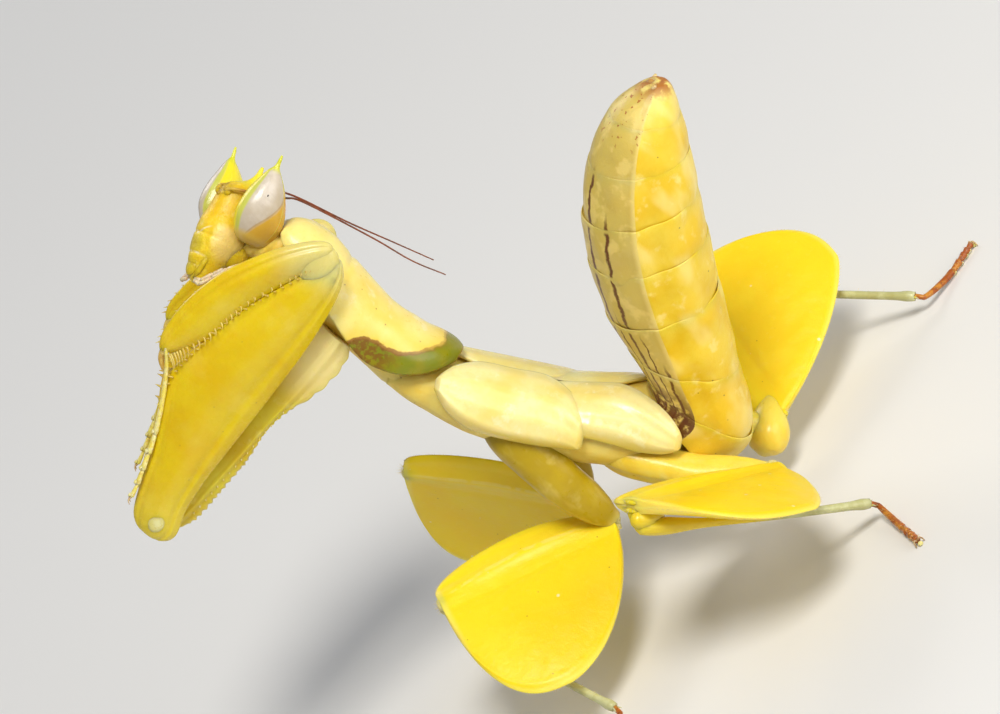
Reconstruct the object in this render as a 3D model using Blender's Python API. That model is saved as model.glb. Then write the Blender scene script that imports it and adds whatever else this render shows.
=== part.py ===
"""A life-size orchid mantis nymph (Hymenopus coronatus, last instar, yellow form), as a still museum model.

Lengths below are in millimetres and angles in degrees. +X is forward, +Y is the animal's left and +Z is up.
The feet stand on Z = 0. Each sub-part is one closed solid, a thin gap away from its neighbours.
"""

import math

import bmesh
import bpy
from mathutils import Matrix, Vector

MM = 0.001
GAP = 0.06                 # between two neighbouring solids
THIN = 0.5                 # the thinnest plate or feeler
HEM = 0.15                 # the inner face of the shield hangs this far below its outer edge

# ---- the trunk: where its frame stands and how it leans -------------------------------------------
BODY_ORIGIN = Vector((0.0, 0.0, 14.56))    # front of the mesothorax, on its midline
BODY_PITCH = 51.4                          # the thorax rises towards the head by this much
FORWARD = Vector((math.cos(math.radians(BODY_PITCH)), 0.0, math.sin(math.radians(BODY_PITCH))))
DORSAL = Vector((-FORWARD.z, 0.0, FORWARD.x))
LEFT = Vector((0.0, 1.0, 0.0))

# The prothorax bends up from the thorax and leans a little to the right.
PRO_FORWARD = Vector((0.256, -0.131, 0.958)).normalized()
PRO_LEFT = Vector((-0.173, 0.969, 0.179))
PRO_LEFT = (PRO_LEFT - PRO_LEFT.project(PRO_FORWARD)).normalized()
PRO_DORSAL = PRO_FORWARD.cross(PRO_LEFT)

# The head looks on along the prothorax, turned to the animal's left.
HEAD_CENTRE = Vector((2.1, -2.1, 24.97))
HEAD_UP = Vector((-0.751, -0.592, 0.293)).normalized()
HEAD_LEFT = Vector((-0.635, 0.769, -0.073))
HEAD_LEFT = (HEAD_LEFT - HEAD_LEFT.project(HEAD_UP)).normalized()
HEAD_FACE = HEAD_LEFT.cross(HEAD_UP)

# ---- the walking legs ------------------------------------------------------------------------------
# (length of coxa, femur, tibia, tarsus) and, for each leg, where the coxa starts and the direction of
# each segment as (azimuth, elevation).
LEG_LENGTHS = {"mid": (5.4, 8.35, 9.4, 3.8), "hind": (5.4, 9.5, 11.25, 3.8)}
LEG_POSES = {
    "mid_left": ((-2.05, 1.51, 9.87), (-159.0, -86.5), (19.5, 18.1), (135.1, -41.4), (62.6, 0.0)),
    "mid_right": ((-2.05, -1.51, 9.87), (-7.4, -77.7), (-15.2, 39.7), (-149.5, -72.4), (-97.5, 0.0)),
    "hind_left": ((-5.49, 1.70, 5.86), (164.5, -29.6), (65.3, 38.2), (-148.6, -47.0), (113.9, 0.0)),
    "hind_right": ((-5.50, -1.70, 5.85), (-165.8, -43.0), (-76.5, 29.6), (162.4, -32.3), (-130.2, 0.0)),
}
ANKLE_HEIGHT = 0.85
SOLE_HEIGHT = 0.2          # of the tarsus axis above the floor
TARSUS_RADIUS = 0.27
PETAL_DEPTH = {"mid": 0.785, "hind": 0.69}  # of the lobe under the femur, in femur lengths
PETAL_FULL = {"mid": 1.8, "hind": 1.5}    # how full the lobe is towards the hip; 2 is an ellipse
PETAL_WIDEST = 0.58        # of the way from hip to knee
PETAL_CREST = 0.155        # of the low lobe above the femur
# How far each petal is swung off its folded tibia, which lies on the side it leaves.
PETAL_SWING = {"mid_left": 8.0, "mid_right": -9.0, "hind_left": 8.0, "hind_right": 8.0}


# ---- small helpers ---------------------------------------------------------------------------------
def clear_scene():
    for obj in list(bpy.data.objects):
        bpy.data.objects.remove(obj, do_unlink=True)
    for mesh in list(bpy.data.meshes):
        bpy.data.meshes.remove(mesh)


def material(name, colour, roughness, subsurface=0.0):
    mat = bpy.data.materials.new(name)
    mat.use_nodes = True
    shader = mat.node_tree.nodes["Principled BSDF"]
    shader.inputs["Base Color"].default_value = (*colour, 1.0)
    shader.inputs["Roughness"].default_value = roughness
    shader.inputs["Metallic"].default_value = 0.0
    shader.inputs["Subsurface Weight"].default_value = subsurface
    mat.diffuse_color = (*colour, 1.0)
    return mat


def body(x, y, z):
    """A point given along the thorax, to its left and above its axis."""
    return BODY_ORIGIN + FORWARD * x + LEFT * y + DORSAL * z


def prothorax(u, s, w):
    return BODY_ORIGIN + PRO_FORWARD * u + PRO_LEFT * s + PRO_DORSAL * w


def head(side, up, out):
    return HEAD_CENTRE + HEAD_LEFT * side + HEAD_UP * up + HEAD_FACE * out


def aim(azimuth, elevation):
    a, e = math.radians(azimuth), math.radians(elevation)
    return Vector((math.cos(a) * math.cos(e), math.sin(a) * math.cos(e), math.sin(e)))


def add(name, mesh, mat):
    mesh.materials.clear()
    mesh.materials.append(mat)
    obj = bpy.data.objects.new(name, mesh)
    COLLECTION.objects.link(obj)
    return obj


def loft(name, rings, mat):
    """One closed solid through rings of the same number of points, each an unlike section of it."""
    shape = bmesh.new()
    rows = [[shape.verts.new(point * MM) for point in ring] for ring in rings]
    for row, after in zip(rows, rows[1:]):
        for i, vert in enumerate(row):
            j = (i + 1) % len(row)
            shape.faces.new((vert, row[j], after[j], after[i]))
    shape.faces.new(rows[0][::-1])
    shape.faces.new(rows[-1])
    bmesh.ops.triangulate(shape, faces=[f for f in shape.faces if len(f.verts) > 4])
    bmesh.ops.recalc_face_normals(shape, faces=shape.faces)
    mesh = bpy.data.meshes.new(name)
    shape.to_mesh(mesh)
    shape.free()
    return add(name, mesh, mat)


def oval(centre, side, up, half_side, half_up, count=14, power=2.0):
    """A ring of points on a (super)ellipse."""
    ring = []
    for i in range(count):
        c, s = math.cos(math.tau * i / count), math.sin(math.tau * i / count)
        c = math.copysign(abs(c) ** (2 / power), c)
        s = math.copysign(abs(s) ** (2 / power), s)
        ring.append(centre + side * (half_side * c) + up * (half_up * s))
    return ring


def between(top, bottom, side, half_side, count=14, power=2.0):
    """A ring whose highest and lowest points are given."""
    height = top - bottom
    return oval((top + bottom) / 2, side, height.normalized(), half_side, height.length / 2, count, power)


def tube(name, points, radii, mat, sides=8):
    """A round tube along a curve, its width set at each point, closed at both ends."""
    curve = bpy.data.curves.new(name, "CURVE")
    curve.dimensions = "3D"
    curve.bevel_depth = MM
    curve.bevel_resolution = sides // 2 - 2
    curve.use_fill_caps = True
    spline = curve.splines.new("POLY")
    spline.points.add(len(points) - 1)
    for place, point, radius in zip(spline.points, points, radii):
        place.co = (*(point * MM), 1.0)
        place.radius = radius
    guide = bpy.data.objects.new(name, curve)
    COLLECTION.objects.link(guide)
    bpy.context.view_layer.update()
    mesh = bpy.data.meshes.new_from_object(guide.evaluated_get(bpy.context.evaluated_depsgraph_get()))
    bpy.data.objects.remove(guide)
    bpy.data.curves.remove(curve)
    shape = bmesh.new()
    shape.from_mesh(mesh)
    bmesh.ops.remove_doubles(shape, verts=shape.verts, dist=1e-7)
    bmesh.ops.recalc_face_normals(shape, faces=shape.faces)
    shape.to_mesh(mesh)
    shape.free()
    return add(name, mesh, mat)


def grown(obj, by):
    """A hidden copy of a solid, swollen along its normals, to cut room for it out of a neighbour."""
    cutter = obj.copy()
    cutter.data = obj.data.copy()
    cutter.name = obj.name + "_room"
    normals = [vert.normal.copy() for vert in cutter.data.vertices]
    for vert, normal in zip(cutter.data.vertices, normals):
        vert.co += normal * (by * MM)
    cutter.hide_render = True
    cutter.display_type = "WIRE"
    COLLECTION.objects.link(cutter)
    return cutter


def cut(obj, cutter):
    modifier = obj.modifiers.new("room", "BOOLEAN")
    modifier.operation = "DIFFERENCE"
    modifier.solver = "EXACT"
    modifier.object = cutter


# ---- trunk -----------------------------------------------------------------------------------------
# Rings of the thorax: (x and z of the top, x and z of the bottom, half width) along the thorax.
MESOTHORAX = (
    (1.6, 0.7, 1.6, -0.45, 1.05), (0.0, 0.9, 0.0, -1.2, 1.5), (-2.5, 0.9, -2.5, -1.95, 1.88),
    (-5.9, 0.85, -5.9, -2.2, 2.0),
)
METATHORAX = (
    (-5.97, 0.85, -5.97, -2.2, 2.0), (-7.8, 1.1, -9.0, -2.1, 2.05), (-9.25, 1.75, -12.7, -1.7, 1.75),
)
# Rings of the abdomen: (x and z of the front edge, x and z of the rear edge, half width) in world places.
ABDOMEN = (
    (-7.45, 8.45, -6.95, 3.55, 1.8), (-7.55, 9.3, -9.3, 4.0, 2.05), (-7.75, 10.7, -10.9, 7.0, 2.45),
    (-8.1, 12.5, -12.6, 10.6, 2.85), (-9.1, 15.0, -13.75, 12.9, 3.0), (-10.3, 16.9, -14.75, 14.8, 2.9),
    (-12.0, 18.65, -15.65, 16.5, 2.5), (-14.1, 19.85, -16.4, 18.0, 1.8), (-15.9, 20.05, -16.95, 19.1, 0.75),
)


def build_thorax():
    def rings(rows):
        return [between(body(a, 0, b), body(c, 0, d), LEFT, half, 16) for a, b, c, d, half in rows]

    meso = loft("mesothorax", rings(MESOTHORAX), CREAM)
    meta = loft("metathorax", rings(METATHORAX), YELLOW)
    return meso, meta


def build_abdomen():
    """Eight segments that bend up over the back; each swells a little between its two ends."""
    segments = []
    ends = [(Vector((a, 0, b)), Vector((c, 0, d)), half) for a, b, c, d, half in ABDOMEN]
    for i, (low, high) in enumerate(zip(ends, ends[1:])):
        rings = []
        for t, swell in ((0.0, 0.97), (0.5, 1.02), (1.0, 1.0)):
            front, rear = low[0].lerp(high[0], t), low[1].lerp(high[1], t)
            middle = (front + rear) / 2
            front, rear = middle + (front - middle) * swell, middle + (rear - middle) * swell
            rings.append(between(front, rear, LEFT, (low[2] * (1 - t) + high[2] * t) * swell, 16))
        centres = [sum(ring, Vector()) / len(ring) for ring in rings]
        along = (centres[-1] - centres[0]).normalized()
        normal = LEFT.cross(rings[0][4] - centres[0]).normalized()
        lift = along * GAP / 2 / max(0.3, abs(along.dot(normal)))
        rings[0] = [p + lift for p in rings[0]]
        rings[-1] = [p - lift for p in rings[-1]]
        if i == len(ends) - 2:
            tip = centres[-1] + along * 0.55
            rings.append([tip + (p - centres[-1]) * 0.45 for p in rings[-1]])
        segments.append(loft(f"abdomen_segment_{i + 1}", rings, YELLOW if i < 7 else GOLD))
    return segments


# Rings of the shield: (along the prothorax, height of its top, height of its margins, half width).
PRONOTUM = (
    (8.4, 2.15, 1.55, 0.95), (7.8, 2.7, 1.2, 1.45), (6.8, 2.72, 0.85, 1.85), (5.8, 2.5, 0.5, 2.1),
    (4.8, 2.25, 0.17, 2.2), (3.5, 1.97, -0.3, 2.15), (2.6, 1.85, -0.42, 2.15), (1.5, 1.9, -0.1, 2.2),
    (0.6, 2.12, 0.45, 2.0), (-0.1, 2.2, 1.1, 1.45), (-0.5, 2.1, 1.45, 0.8),
)
# Rings of the prothorax below it: (along and height of the top, along and height of the bottom, half width).
PROTHORAX = (
    (2.0, 0.75, 1.45, -1.25, 1.25), (3.0, 1.25, 2.9, -1.05, 1.45), (4.5, 1.6, 4.5, -0.9, 1.55),
    (6.0, 1.85, 6.0, -0.5, 1.4), (7.3, 1.9, 7.3, 0.25, 1.0), (8.2, 1.6, 8.2, 0.45, 0.7),
)


def build_prothorax():
    """The saddle-shaped shield, and under it the prothorax with the neck that carries the head."""
    rings = []
    for u, top, margin, half in PRONOTUM:
        outer, inner = [], []
        for i in range(9):
            c, s = math.cos(math.pi * i / 8), math.sin(math.pi * i / 8)
            outer.append(prothorax(u, half * c, margin + (top - margin) * s))
            rise = top - margin - THIN + HEM
            inner.append(prothorax(u, (half - THIN) * c, margin - HEM + rise * s))
        rings.append(outer + inner[::-1])
    shield = loft("pronotum", rings, CREAM)
    rings = []
    for a, b, c, d, half in PROTHORAX:
        rings.append(between(prothorax(a, 0, b), prothorax(c, 0, d), PRO_LEFT, half, 12))
    rings.append(oval(prothorax(9.5, -0.8, 0.9), PRO_LEFT, PRO_DORSAL, 0.6, 0.6, 12))
    return shield, loft("prothorax", rings, YELLOW)


# Rows of the wing pads: (along the thorax, angle of the upper and of the lower edge); 90 is the midline of
# the back. The shells lie on an elliptic cylinder round the thorax that swells upwards behind PAD_SWELL_FROM.
FORE_PAD = (
    (-0.35, 48, 40), (-1.2, 62, 8), (-2.2, 84, -12), (-3.6, 84, -20), (-5.0, 84, -19), (-6.1, 62, -14),
    (-7.0, 30, -8),
)
HIND_PAD = (
    (-5.35, 84, 66), (-6.1, 84, 68), (-7.3, 84, 34), (-8.3, 78, -2), (-9.4, 60, -14), (-10.4, 36, -16),
    (-11.1, 12, -8),
)
PADS = {"fore_wing_pad": (FORE_PAD, 2.16, 1.42), "hind_wing_pad": (HIND_PAD, 2.15, 1.52)}   # rows, half axes
PAD_AXIS = -0.4
PAD_SWELL_FROM, PAD_SWELL = -7.0, 0.25
PAD_STEPS = 6


def build_wing_pads():
    """Four shells that lie on the sides of the thorax like short capes."""
    pads = {}
    for name, (rows, half_width, half_height) in PADS.items():
        for side, sign in (("left", 1), ("right", -1)):
            rings = []
            for x, high, low in rows:
                angles = [math.radians(low + (high - low) * k / PAD_STEPS) for k in range(PAD_STEPS + 1)]
                height = half_height + max(0.0, PAD_SWELL_FROM - x) * PAD_SWELL
                outer, inner = [], []
                for angle in angles:
                    c, s = sign * math.cos(angle), math.sin(angle)
                    outer.append(body(x, (half_width + THIN) * c, PAD_AXIS + (height + THIN) * s))
                    inner.append(body(x, half_width * c, PAD_AXIS + height * s))
                rings.append(outer + inner[::-1])
            pads[name, side] = loft(f"{name}_{side}", rings, CREAM)
    return pads


# ---- head ------------------------------------------------------------------------------------------
def build_head():
    rows = (   # (up, half width, out of the front, out of the back): from the mouth to the horn on the crown
        (-3.6, 0.28, 0.42, -0.2), (-3.1, 0.55, 0.7, -0.45), (-2.3, 0.88, 1.0, -0.85), (-1.5, 1.2, 1.1, -1.2),
        (-0.9, 1.24, 1.1, -1.3), (-0.3, 0.98, 1.05, -1.2), (0.5, 0.88, 0.95, -1.05), (1.15, 0.8, 0.6, -0.95),
        (1.45, 0.35, 0.0, -0.75), (1.7, 0.2, -0.2, -0.6), (2.25, 0.08, -0.32, -0.48),
    )
    rings = []
    for up, half, front, back in rows:
        rings.append(between(head(0, up, front), head(0, up, back), HEAD_LEFT, half))
    skull = loft("head", rings, YELLOW)
    eye = (   # (up, middle, out, half width, half depth): a tall cone that ends in a small spike
        (-1.1, 1.5, -0.55, 0.24, 0.5), (-0.75, 1.6, -0.5, 0.46, 0.92), (-0.2, 1.74, -0.44, 0.7, 1.14),
        (0.4, 1.8, -0.36, 0.83, 1.11), (1.0, 1.85, -0.28, 0.76, 0.93), (1.6, 1.93, -0.15, 0.54, 0.62),
        (2.1, 2.02, 0.0, 0.25, 0.28), (2.3, 2.07, 0.05, 0.13, 0.14), (2.8, 2.16, 0.1, 0.07, 0.07),
    )
    for side, sign in (("left", 1), ("right", -1)):
        rings = []
        for up, middle, out, half, depth in eye:
            rings.append(oval(head(sign * middle, up, out), HEAD_LEFT, HEAD_FACE, half, depth, 12))
        loft(f"eye_{side}", rings, PEARL)
    return skull


def build_antennae():
    """Each rises from the face beside the ocelli, crosses the crown and trails back over the pronotum."""
    routes = {
        "left": (
            head(0.45, 0.75, 1.2), head(0.6, 1.3, 1.1), head(0.72, 1.62, 0.5), head(0.72, 1.68, -0.4),
            head(1.05, 1.7, -1.1), Vector((-1.2, -1.2, 23.9)), Vector((-2.5, -0.3, 21.1)),
            Vector((-3.4, 0.4, 19.5)), Vector((-4.3, 0.9, 18.3)),
        ),
        "right": (
            head(-0.45, 0.75, 1.2), head(-0.6, 1.3, 1.1), head(-0.72, 1.62, 0.5), head(-0.7, 1.66, -0.5),
            Vector((-0.15, -3.6, 23.5)), Vector((-1.1, -3.3, 21.2)), Vector((-1.9, -3.0, 19.3)),
            Vector((-2.8, -2.8, 17.6)),
        ),
    }
    for side, points in routes.items():
        tube(f"antenna_{side}", points, [THIN / 2] * len(points), BROWN, 6)


# ---- raptorial forelegs ----------------------------------------------------------------------------
# Rings of the femur: (along it, front edge, rear edge, half thickness).
FORE_FEMUR = (
    (-0.75, 1.1, 0.0, 0.25), (-0.3, 1.5, -0.2, 0.42), (1.0, 1.75, -0.35, 0.5), (2.6, 1.85, -0.7, 0.55),
    (4.2, 2.6, -0.9, 0.6), (5.9, 3.05, -1.05, 0.62), (7.8, 2.9, -1.2, 0.62), (9.6, 2.4, -1.35, 0.6),
    (11.3, 1.55, -1.35, 0.55), (12.6, 0.75, -1.25, 0.5), (13.5, 0.25, -0.95, 0.4), (13.95, -0.1, -0.5, 0.25),
)
# Rings of the tibia: (along the femur, in front of it, half width, half thickness).
FORE_TIBIA = (
    (13.85, 0.7, 0.4, 0.4), (12.7, 1.75, 0.55, 0.42), (10.9, 3.0, 0.68, 0.45), (9.2, 3.75, 0.66, 0.42),
    (7.9, 4.25, 0.48, 0.36), (7.0, 4.5, 0.3, 0.3),
)
# Points of the tarsus and its width there: (along the femur, in front of it, radius).
FORE_TARSUS = ((6.75, 4.55, 0.25), (5.0, 3.65, 0.25), (3.2, 2.6, 0.27), (1.2, 2.32, 0.27), (0.1, 2.2, 0.25))
# Rings of the coxa: (place along it from 0 to 1, half width, half thickness).
FORE_COXA = (
    (0.0, 0.9, 0.62), (0.12, 1.12, 0.6), (0.35, 1.05, 0.55), (0.7, 0.95, 0.52), (0.93, 0.8, 0.5),
    (1.0, 0.45, 0.35),
)


def build_foreleg(side, sign):
    """A blade-like coxa, a leaf-like femur outside it and a tibia shut like a clasp knife on the femur."""
    lower = 0.0 if sign > 0 else 0.45
    trochanter = prothorax(5.33, sign * 2.32, -11.27 - lower)
    knee = prothorax(6.49, sign * 2.95, 2.68 - lower)
    along = (knee - trochanter).normalized()
    out = (PRO_LEFT * sign - (PRO_LEFT * sign).project(along)).normalized()
    front = out.cross(along) * sign
    front = front if front.dot(PRO_FORWARD) > 0 else -front

    def femur_point(u, v, n=0.0):
        return trochanter + along * u + front * v + out * n

    rings = []
    for u, high, low, half in FORE_FEMUR:
        middle = femur_point(u, (high + low) / 2)
        rings.append(oval(middle, front, out, (high - low) / 2, half, 14, 1.7))
    femur = loft(f"foreleg_femur_{side}", rings, YELLOW)

    heading = (femur_point(7.0, 4.5) - femur_point(13.9, 1.05)).normalized()
    across = heading.cross(out).normalized()
    rings = [oval(femur_point(u, v), across, out, half, depth, 10) for u, v, half, depth in FORE_TIBIA]
    cut(loft(f"foreleg_tibia_{side}", rings, YELLOW), grown(femur, GAP))

    places = [femur_point(u, v) for u, v, radius in FORE_TARSUS]
    tube(f"foreleg_tarsus_{side}", places, [radius for u, v, radius in FORE_TARSUS], PALE, 6)

    base, tip = prothorax(4.25, sign * 1.3, -0.55), prothorax(5.1, sign * 1.5, -11.5)
    along = (tip - base).normalized()
    rear = (-PRO_FORWARD + PRO_FORWARD.project(along)).normalized()
    thick = along.cross(rear)
    rings = []
    for t, half, depth in FORE_COXA:
        rings.append(oval(base.lerp(tip, t) + rear * 0.1, rear, thick, half, depth, 12, 1.8))
    coxa = loft(f"foreleg_coxa_{side}", rings, YELLOW)
    cut(coxa, grown(femur, GAP))
    return coxa


# ---- walking legs with their petals ----------------------------------------------------------------
def petal_depth(pair, t):
    """How far the petal hangs below the femur at a place along it, 0 at the hip and 1 at the knee."""
    if t < PETAL_WIDEST:
        s, power = (PETAL_WIDEST - t) / PETAL_WIDEST, PETAL_FULL[pair]
    else:
        s, power = (t - PETAL_WIDEST) / (1 - PETAL_WIDEST), 2.6
    return PETAL_DEPTH[pair] * (1 - s ** power) ** (1 / power)


def build_petal(pair, side, hip, knee, ankle, sign):
    """The femur: a rod with a broad petal below it, thin at the rim. It also returns the petal's normal."""
    length = (knee - hip).length
    along = (knee - hip).normalized()
    down = ankle - knee
    down = (down - down.project(along)).normalized()
    out = along.cross(down) * sign
    swing = math.radians(PETAL_SWING[f"{pair}_{side}"])
    down = down * math.cos(swing) + out * math.sin(swing)
    face = along.cross(down) * sign
    rings = []
    for k in range(15):
        t = 0.5 - 0.5 * math.cos(math.pi * (0.045 + 0.93 * k / 14))
        depth = max(petal_depth(pair, t), 0.075) * length
        crest = (0.05 + PETAL_CREST * math.sin(math.pi * t) ** 0.8) * length
        rod = 0.5 * (0.6 + 0.4 * math.sin(math.pi * min(1.0, 0.12 + t)))
        upper, lower = [], []
        section = (
            (-crest, 0.12), (-crest * 0.55, 0.3), (0.0, rod), (depth * 0.25, 0.34), (depth * 0.65, 0.28),
            (depth * 0.94, 0.2), (depth, 0.08),
        )
        for v, thick in section:
            dish = 0.25 * math.sin(math.pi * max(0.0, v) / (PETAL_DEPTH[pair] * length))
            middle = hip + along * (t * length) + down * v + face * dish
            upper.append(middle + face * thick)
            lower.append(middle - face * thick)
        rings.append(upper + lower[::-1])
    return loft(f"{pair}_femur_{side}", rings, LEMON), face


def build_leg(pair, side, sign):
    """The four segments of one walking leg; it returns the coxa, which the trunk is then cut out of."""
    key = f"{pair}_{side}"
    start, *aims = LEG_POSES[key]
    lengths = LEG_LENGTHS[pair]
    start = Vector(start)
    hip = start + aim(*aims[0]) * lengths[0]
    knee = hip + aim(*aims[1]) * lengths[1]
    ankle = knee + aim(*aims[2]) * lengths[2]
    ankle.z = ANKLE_HEIGHT
    toe = ankle + aim(*aims[3]) * lengths[3]
    toe.z = SOLE_HEIGHT
    thick = 1.0 if pair == "mid" else 0.8
    hip_end = start.lerp(hip, 0.97)
    places = [start.lerp(hip_end, t) for t in (0.0, 0.3, 0.6, 0.85, 1.0)]
    coxa = tube(f"{pair}_coxa_{side}", places, (thick, thick, thick * 0.92, thick * 0.72, 0.45), OLIVE)
    femur, face = build_petal(pair, side, hip, knee, ankle, sign)
    cut(coxa, grown(femur, GAP))
    along = (knee - hip).normalized()
    bend = knee - along * 0.35 - face * math.copysign(0.86, PETAL_SWING[key])
    shank = [bend.lerp(ankle, t) for t in (0.0, 0.1, 0.5, 0.92, 0.973)]
    tube(f"{pair}_tibia_{side}", shank, (0.3, 0.36, 0.3, 0.27, 0.25), PALE)
    way = [ankle, ankle.lerp(toe, 0.16), ankle.lerp(toe, 0.42), ankle.lerp(toe, 0.62), toe]
    for point, height in zip(way, (ANKLE_HEIGHT - 0.12, 0.52, 0.28, SOLE_HEIGHT, SOLE_HEIGHT)):
        point.z = height
    radii = (0.25, 0.26, TARSUS_RADIUS, TARSUS_RADIUS, TARSUS_RADIUS)
    tarsus = tube(f"{pair}_tarsus_{side}", way, radii, RUST)
    flatten_sole(tarsus)
    return coxa


def flatten_sole(obj):
    """Cuts off all that is below the floor, which leaves a narrow flat sole."""
    shape = bmesh.new()
    shape.from_mesh(obj.data)
    parts = shape.verts[:] + shape.edges[:] + shape.faces[:]
    bmesh.ops.bisect_plane(shape, geom=parts, plane_co=(0, 0, 0), plane_no=(0, 0, -1), clear_outer=True)
    bmesh.ops.holes_fill(shape, edges=[e for e in shape.edges if e.is_boundary])
    bmesh.ops.triangulate(shape, faces=[f for f in shape.faces if len(f.verts) > 4])
    bmesh.ops.recalc_face_normals(shape, faces=shape.faces)
    shape.to_mesh(obj.data)
    shape.free()


def centre_on_floor():
    """Puts the origin under the middle of the whole animal."""
    points = [v.co for obj in COLLECTION.objects if not obj.hide_render for v in obj.data.vertices]
    middle = [(min(p[i] for p in points) + max(p[i] for p in points)) / 2 for i in (0, 1)]
    shift = Matrix.Translation((-middle[0], -middle[1], 0.0))
    for obj in COLLECTION.objects:
        obj.data.transform(shift)


# ---- the whole animal ------------------------------------------------------------------------------
clear_scene()
COLLECTION = bpy.data.collections.new("orchid_mantis")
bpy.context.scene.collection.children.link(COLLECTION)
LEMON = material("petal_yellow", (0.93, 0.72, 0.03), 0.45, 0.2)
YELLOW = material("body_yellow", (0.86, 0.68, 0.08), 0.42, 0.2)
GOLD = material("abdomen_tip_brown", (0.62, 0.32, 0.08), 0.5)
CREAM = material("shield_cream", (0.93, 0.84, 0.42), 0.3, 0.2)
OLIVE = material("coxa_olive", (0.62, 0.52, 0.1), 0.4, 0.3)
PALE = material("shank_pale", (0.75, 0.74, 0.5), 0.4, 0.3)
RUST = material("tarsus_rust", (0.45, 0.12, 0.03), 0.5)
BROWN = material("antenna_brown", (0.22, 0.08, 0.03), 0.5)
PEARL = material("eye_pearl", (0.78, 0.77, 0.68), 0.15)

mesothorax, metathorax = build_thorax()
abdomen = build_abdomen()
pronotum_solid, prothorax_solid = build_prothorax()
pads = build_wing_pads()
skull = build_head()
build_antennae()
trunk = (mesothorax, metathorax, pronotum_solid, prothorax_solid, skull, abdomen[0], *pads.values())
room = {part: grown(part, GAP) for part in trunk}
cut(prothorax_solid, room[skull])
cut(prothorax_solid, room[pronotum_solid])
cut(mesothorax, room[pronotum_solid])
cut(mesothorax, room[prothorax_solid])
for side, sign in (("left", 1), ("right", -1)):
    fore_pad, hind_pad = pads["fore_wing_pad", side], pads["hind_wing_pad", side]
    cut(fore_pad, room[pronotum_solid])
    cut(hind_pad, room[fore_pad])
    cut(hind_pad, room[metathorax])
    cut(build_foreleg(side, sign), room[prothorax_solid])
    for pair in ("mid", "hind"):
        coxa = build_leg(pair, side, sign)
        for part in (mesothorax, metathorax, abdomen[0], fore_pad, hind_pad):
            cut(coxa, room[part])
centre_on_floor()
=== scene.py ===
"""Orchid mantis nymph: every solid of the frame gets its detailed shell plate, petal or limb.

Lengths are in millimetres and angles in degrees, until a mesh is made. Each limb's and plate's own axes are
measured from the frame's solids, and shapes are given along those axes.
"""

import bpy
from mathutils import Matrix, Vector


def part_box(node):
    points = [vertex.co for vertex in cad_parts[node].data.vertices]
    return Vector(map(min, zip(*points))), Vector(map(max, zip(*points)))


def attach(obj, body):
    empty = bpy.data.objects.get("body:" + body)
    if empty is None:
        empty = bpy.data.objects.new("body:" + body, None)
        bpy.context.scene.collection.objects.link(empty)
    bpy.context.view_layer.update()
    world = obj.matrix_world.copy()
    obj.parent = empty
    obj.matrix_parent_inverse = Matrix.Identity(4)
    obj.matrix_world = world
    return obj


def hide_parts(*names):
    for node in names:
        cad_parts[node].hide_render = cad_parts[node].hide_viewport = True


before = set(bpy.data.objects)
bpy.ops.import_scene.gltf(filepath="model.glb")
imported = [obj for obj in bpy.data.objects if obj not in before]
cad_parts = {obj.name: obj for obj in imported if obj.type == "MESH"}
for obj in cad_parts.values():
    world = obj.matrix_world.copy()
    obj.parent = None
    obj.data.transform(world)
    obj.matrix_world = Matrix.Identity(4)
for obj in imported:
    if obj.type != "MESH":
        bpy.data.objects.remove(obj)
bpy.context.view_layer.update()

import math
import random

import bmesh
import bpy
import numpy as np
from mathutils import Matrix, Vector, noise

MM = 0.001
SLANT = (0.31, 0.17, 0.93)                         # a direction that no limb starts along
random.seed(7)


# ---- measuring the frame ---------------------------------------------------------------------------
def unit(v):
    v = np.asarray(v, float)
    return v / np.linalg.norm(v)


def corners(node):
    points = np.array([v.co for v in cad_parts[node].data.vertices]) / MM
    return np.unique(np.round(points, 3), axis=0)


def flats(node, fewest=10):
    """The flat end faces of a solid, each as (centre, outward normal, corners)."""
    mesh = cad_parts[node].data
    centres = np.array([p.center for p in mesh.polygons]) / MM
    normals = np.array([p.normal for p in mesh.polygons])
    free = np.ones(len(centres), bool)
    found = []
    for i in range(len(centres)):
        if not free[i]:
            continue
        level = np.abs((centres - centres[i]) @ normals[i]) < 0.01
        same = free & level & (normals @ normals[i] > 0.9998)
        free &= ~same
        at = {v for k in np.flatnonzero(same) for v in mesh.polygons[k].vertices}
        points = np.unique([np.round(np.array(mesh.vertices[v].co) / MM, 3) for v in at], axis=0)
        if len(points) >= fewest:
            found.append((points.mean(0), normals[i], points))
    return found


def end_face(node, near, fewest=10):
    return min(flats(node, fewest), key=lambda face: np.linalg.norm(face[0] - near))


def middle(node):
    return corners(node).mean(0)


def axes(origin, x, y, z):
    """A function that turns places along three axes into points."""
    def at(a, b, c):
        a, b, c = np.broadcast_arrays(a, b, c)
        return origin + a[..., None] * x + b[..., None] * y + c[..., None] * z
    return at


# ---- meshes ----------------------------------------------------------------------------------------
def curve(rows, count):
    """Rows of numbers, drawn out to this many by a smooth curve through them."""
    rows = np.array(rows, float)
    rows = np.vstack([2 * rows[0] - rows[1], rows, 2 * rows[-1] - rows[-2]])
    place = np.linspace(0, len(rows) - 3, count)
    i = np.minimum(place.astype(int), len(rows) - 4)
    t = (place - i)[:, None]
    a, b, c, d = rows[i], rows[i + 1], rows[i + 2], rows[i + 3]
    return 0.5 * (2 * b + (c - a) * t + (2 * a - 5 * b + 4 * c - d) * t**2 + (3 * b - a - 3 * c + d) * t**3)


def columns(table):
    return (table[:, k:k + 1] for k in range(table.shape[1]))


def bump(x, at, width):
    """1 where x is at this value, falling smoothly to 0 on both sides."""
    return np.exp(-((x - at) / width) ** 2)


def around(count):
    return np.arange(count) * math.tau / count


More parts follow.
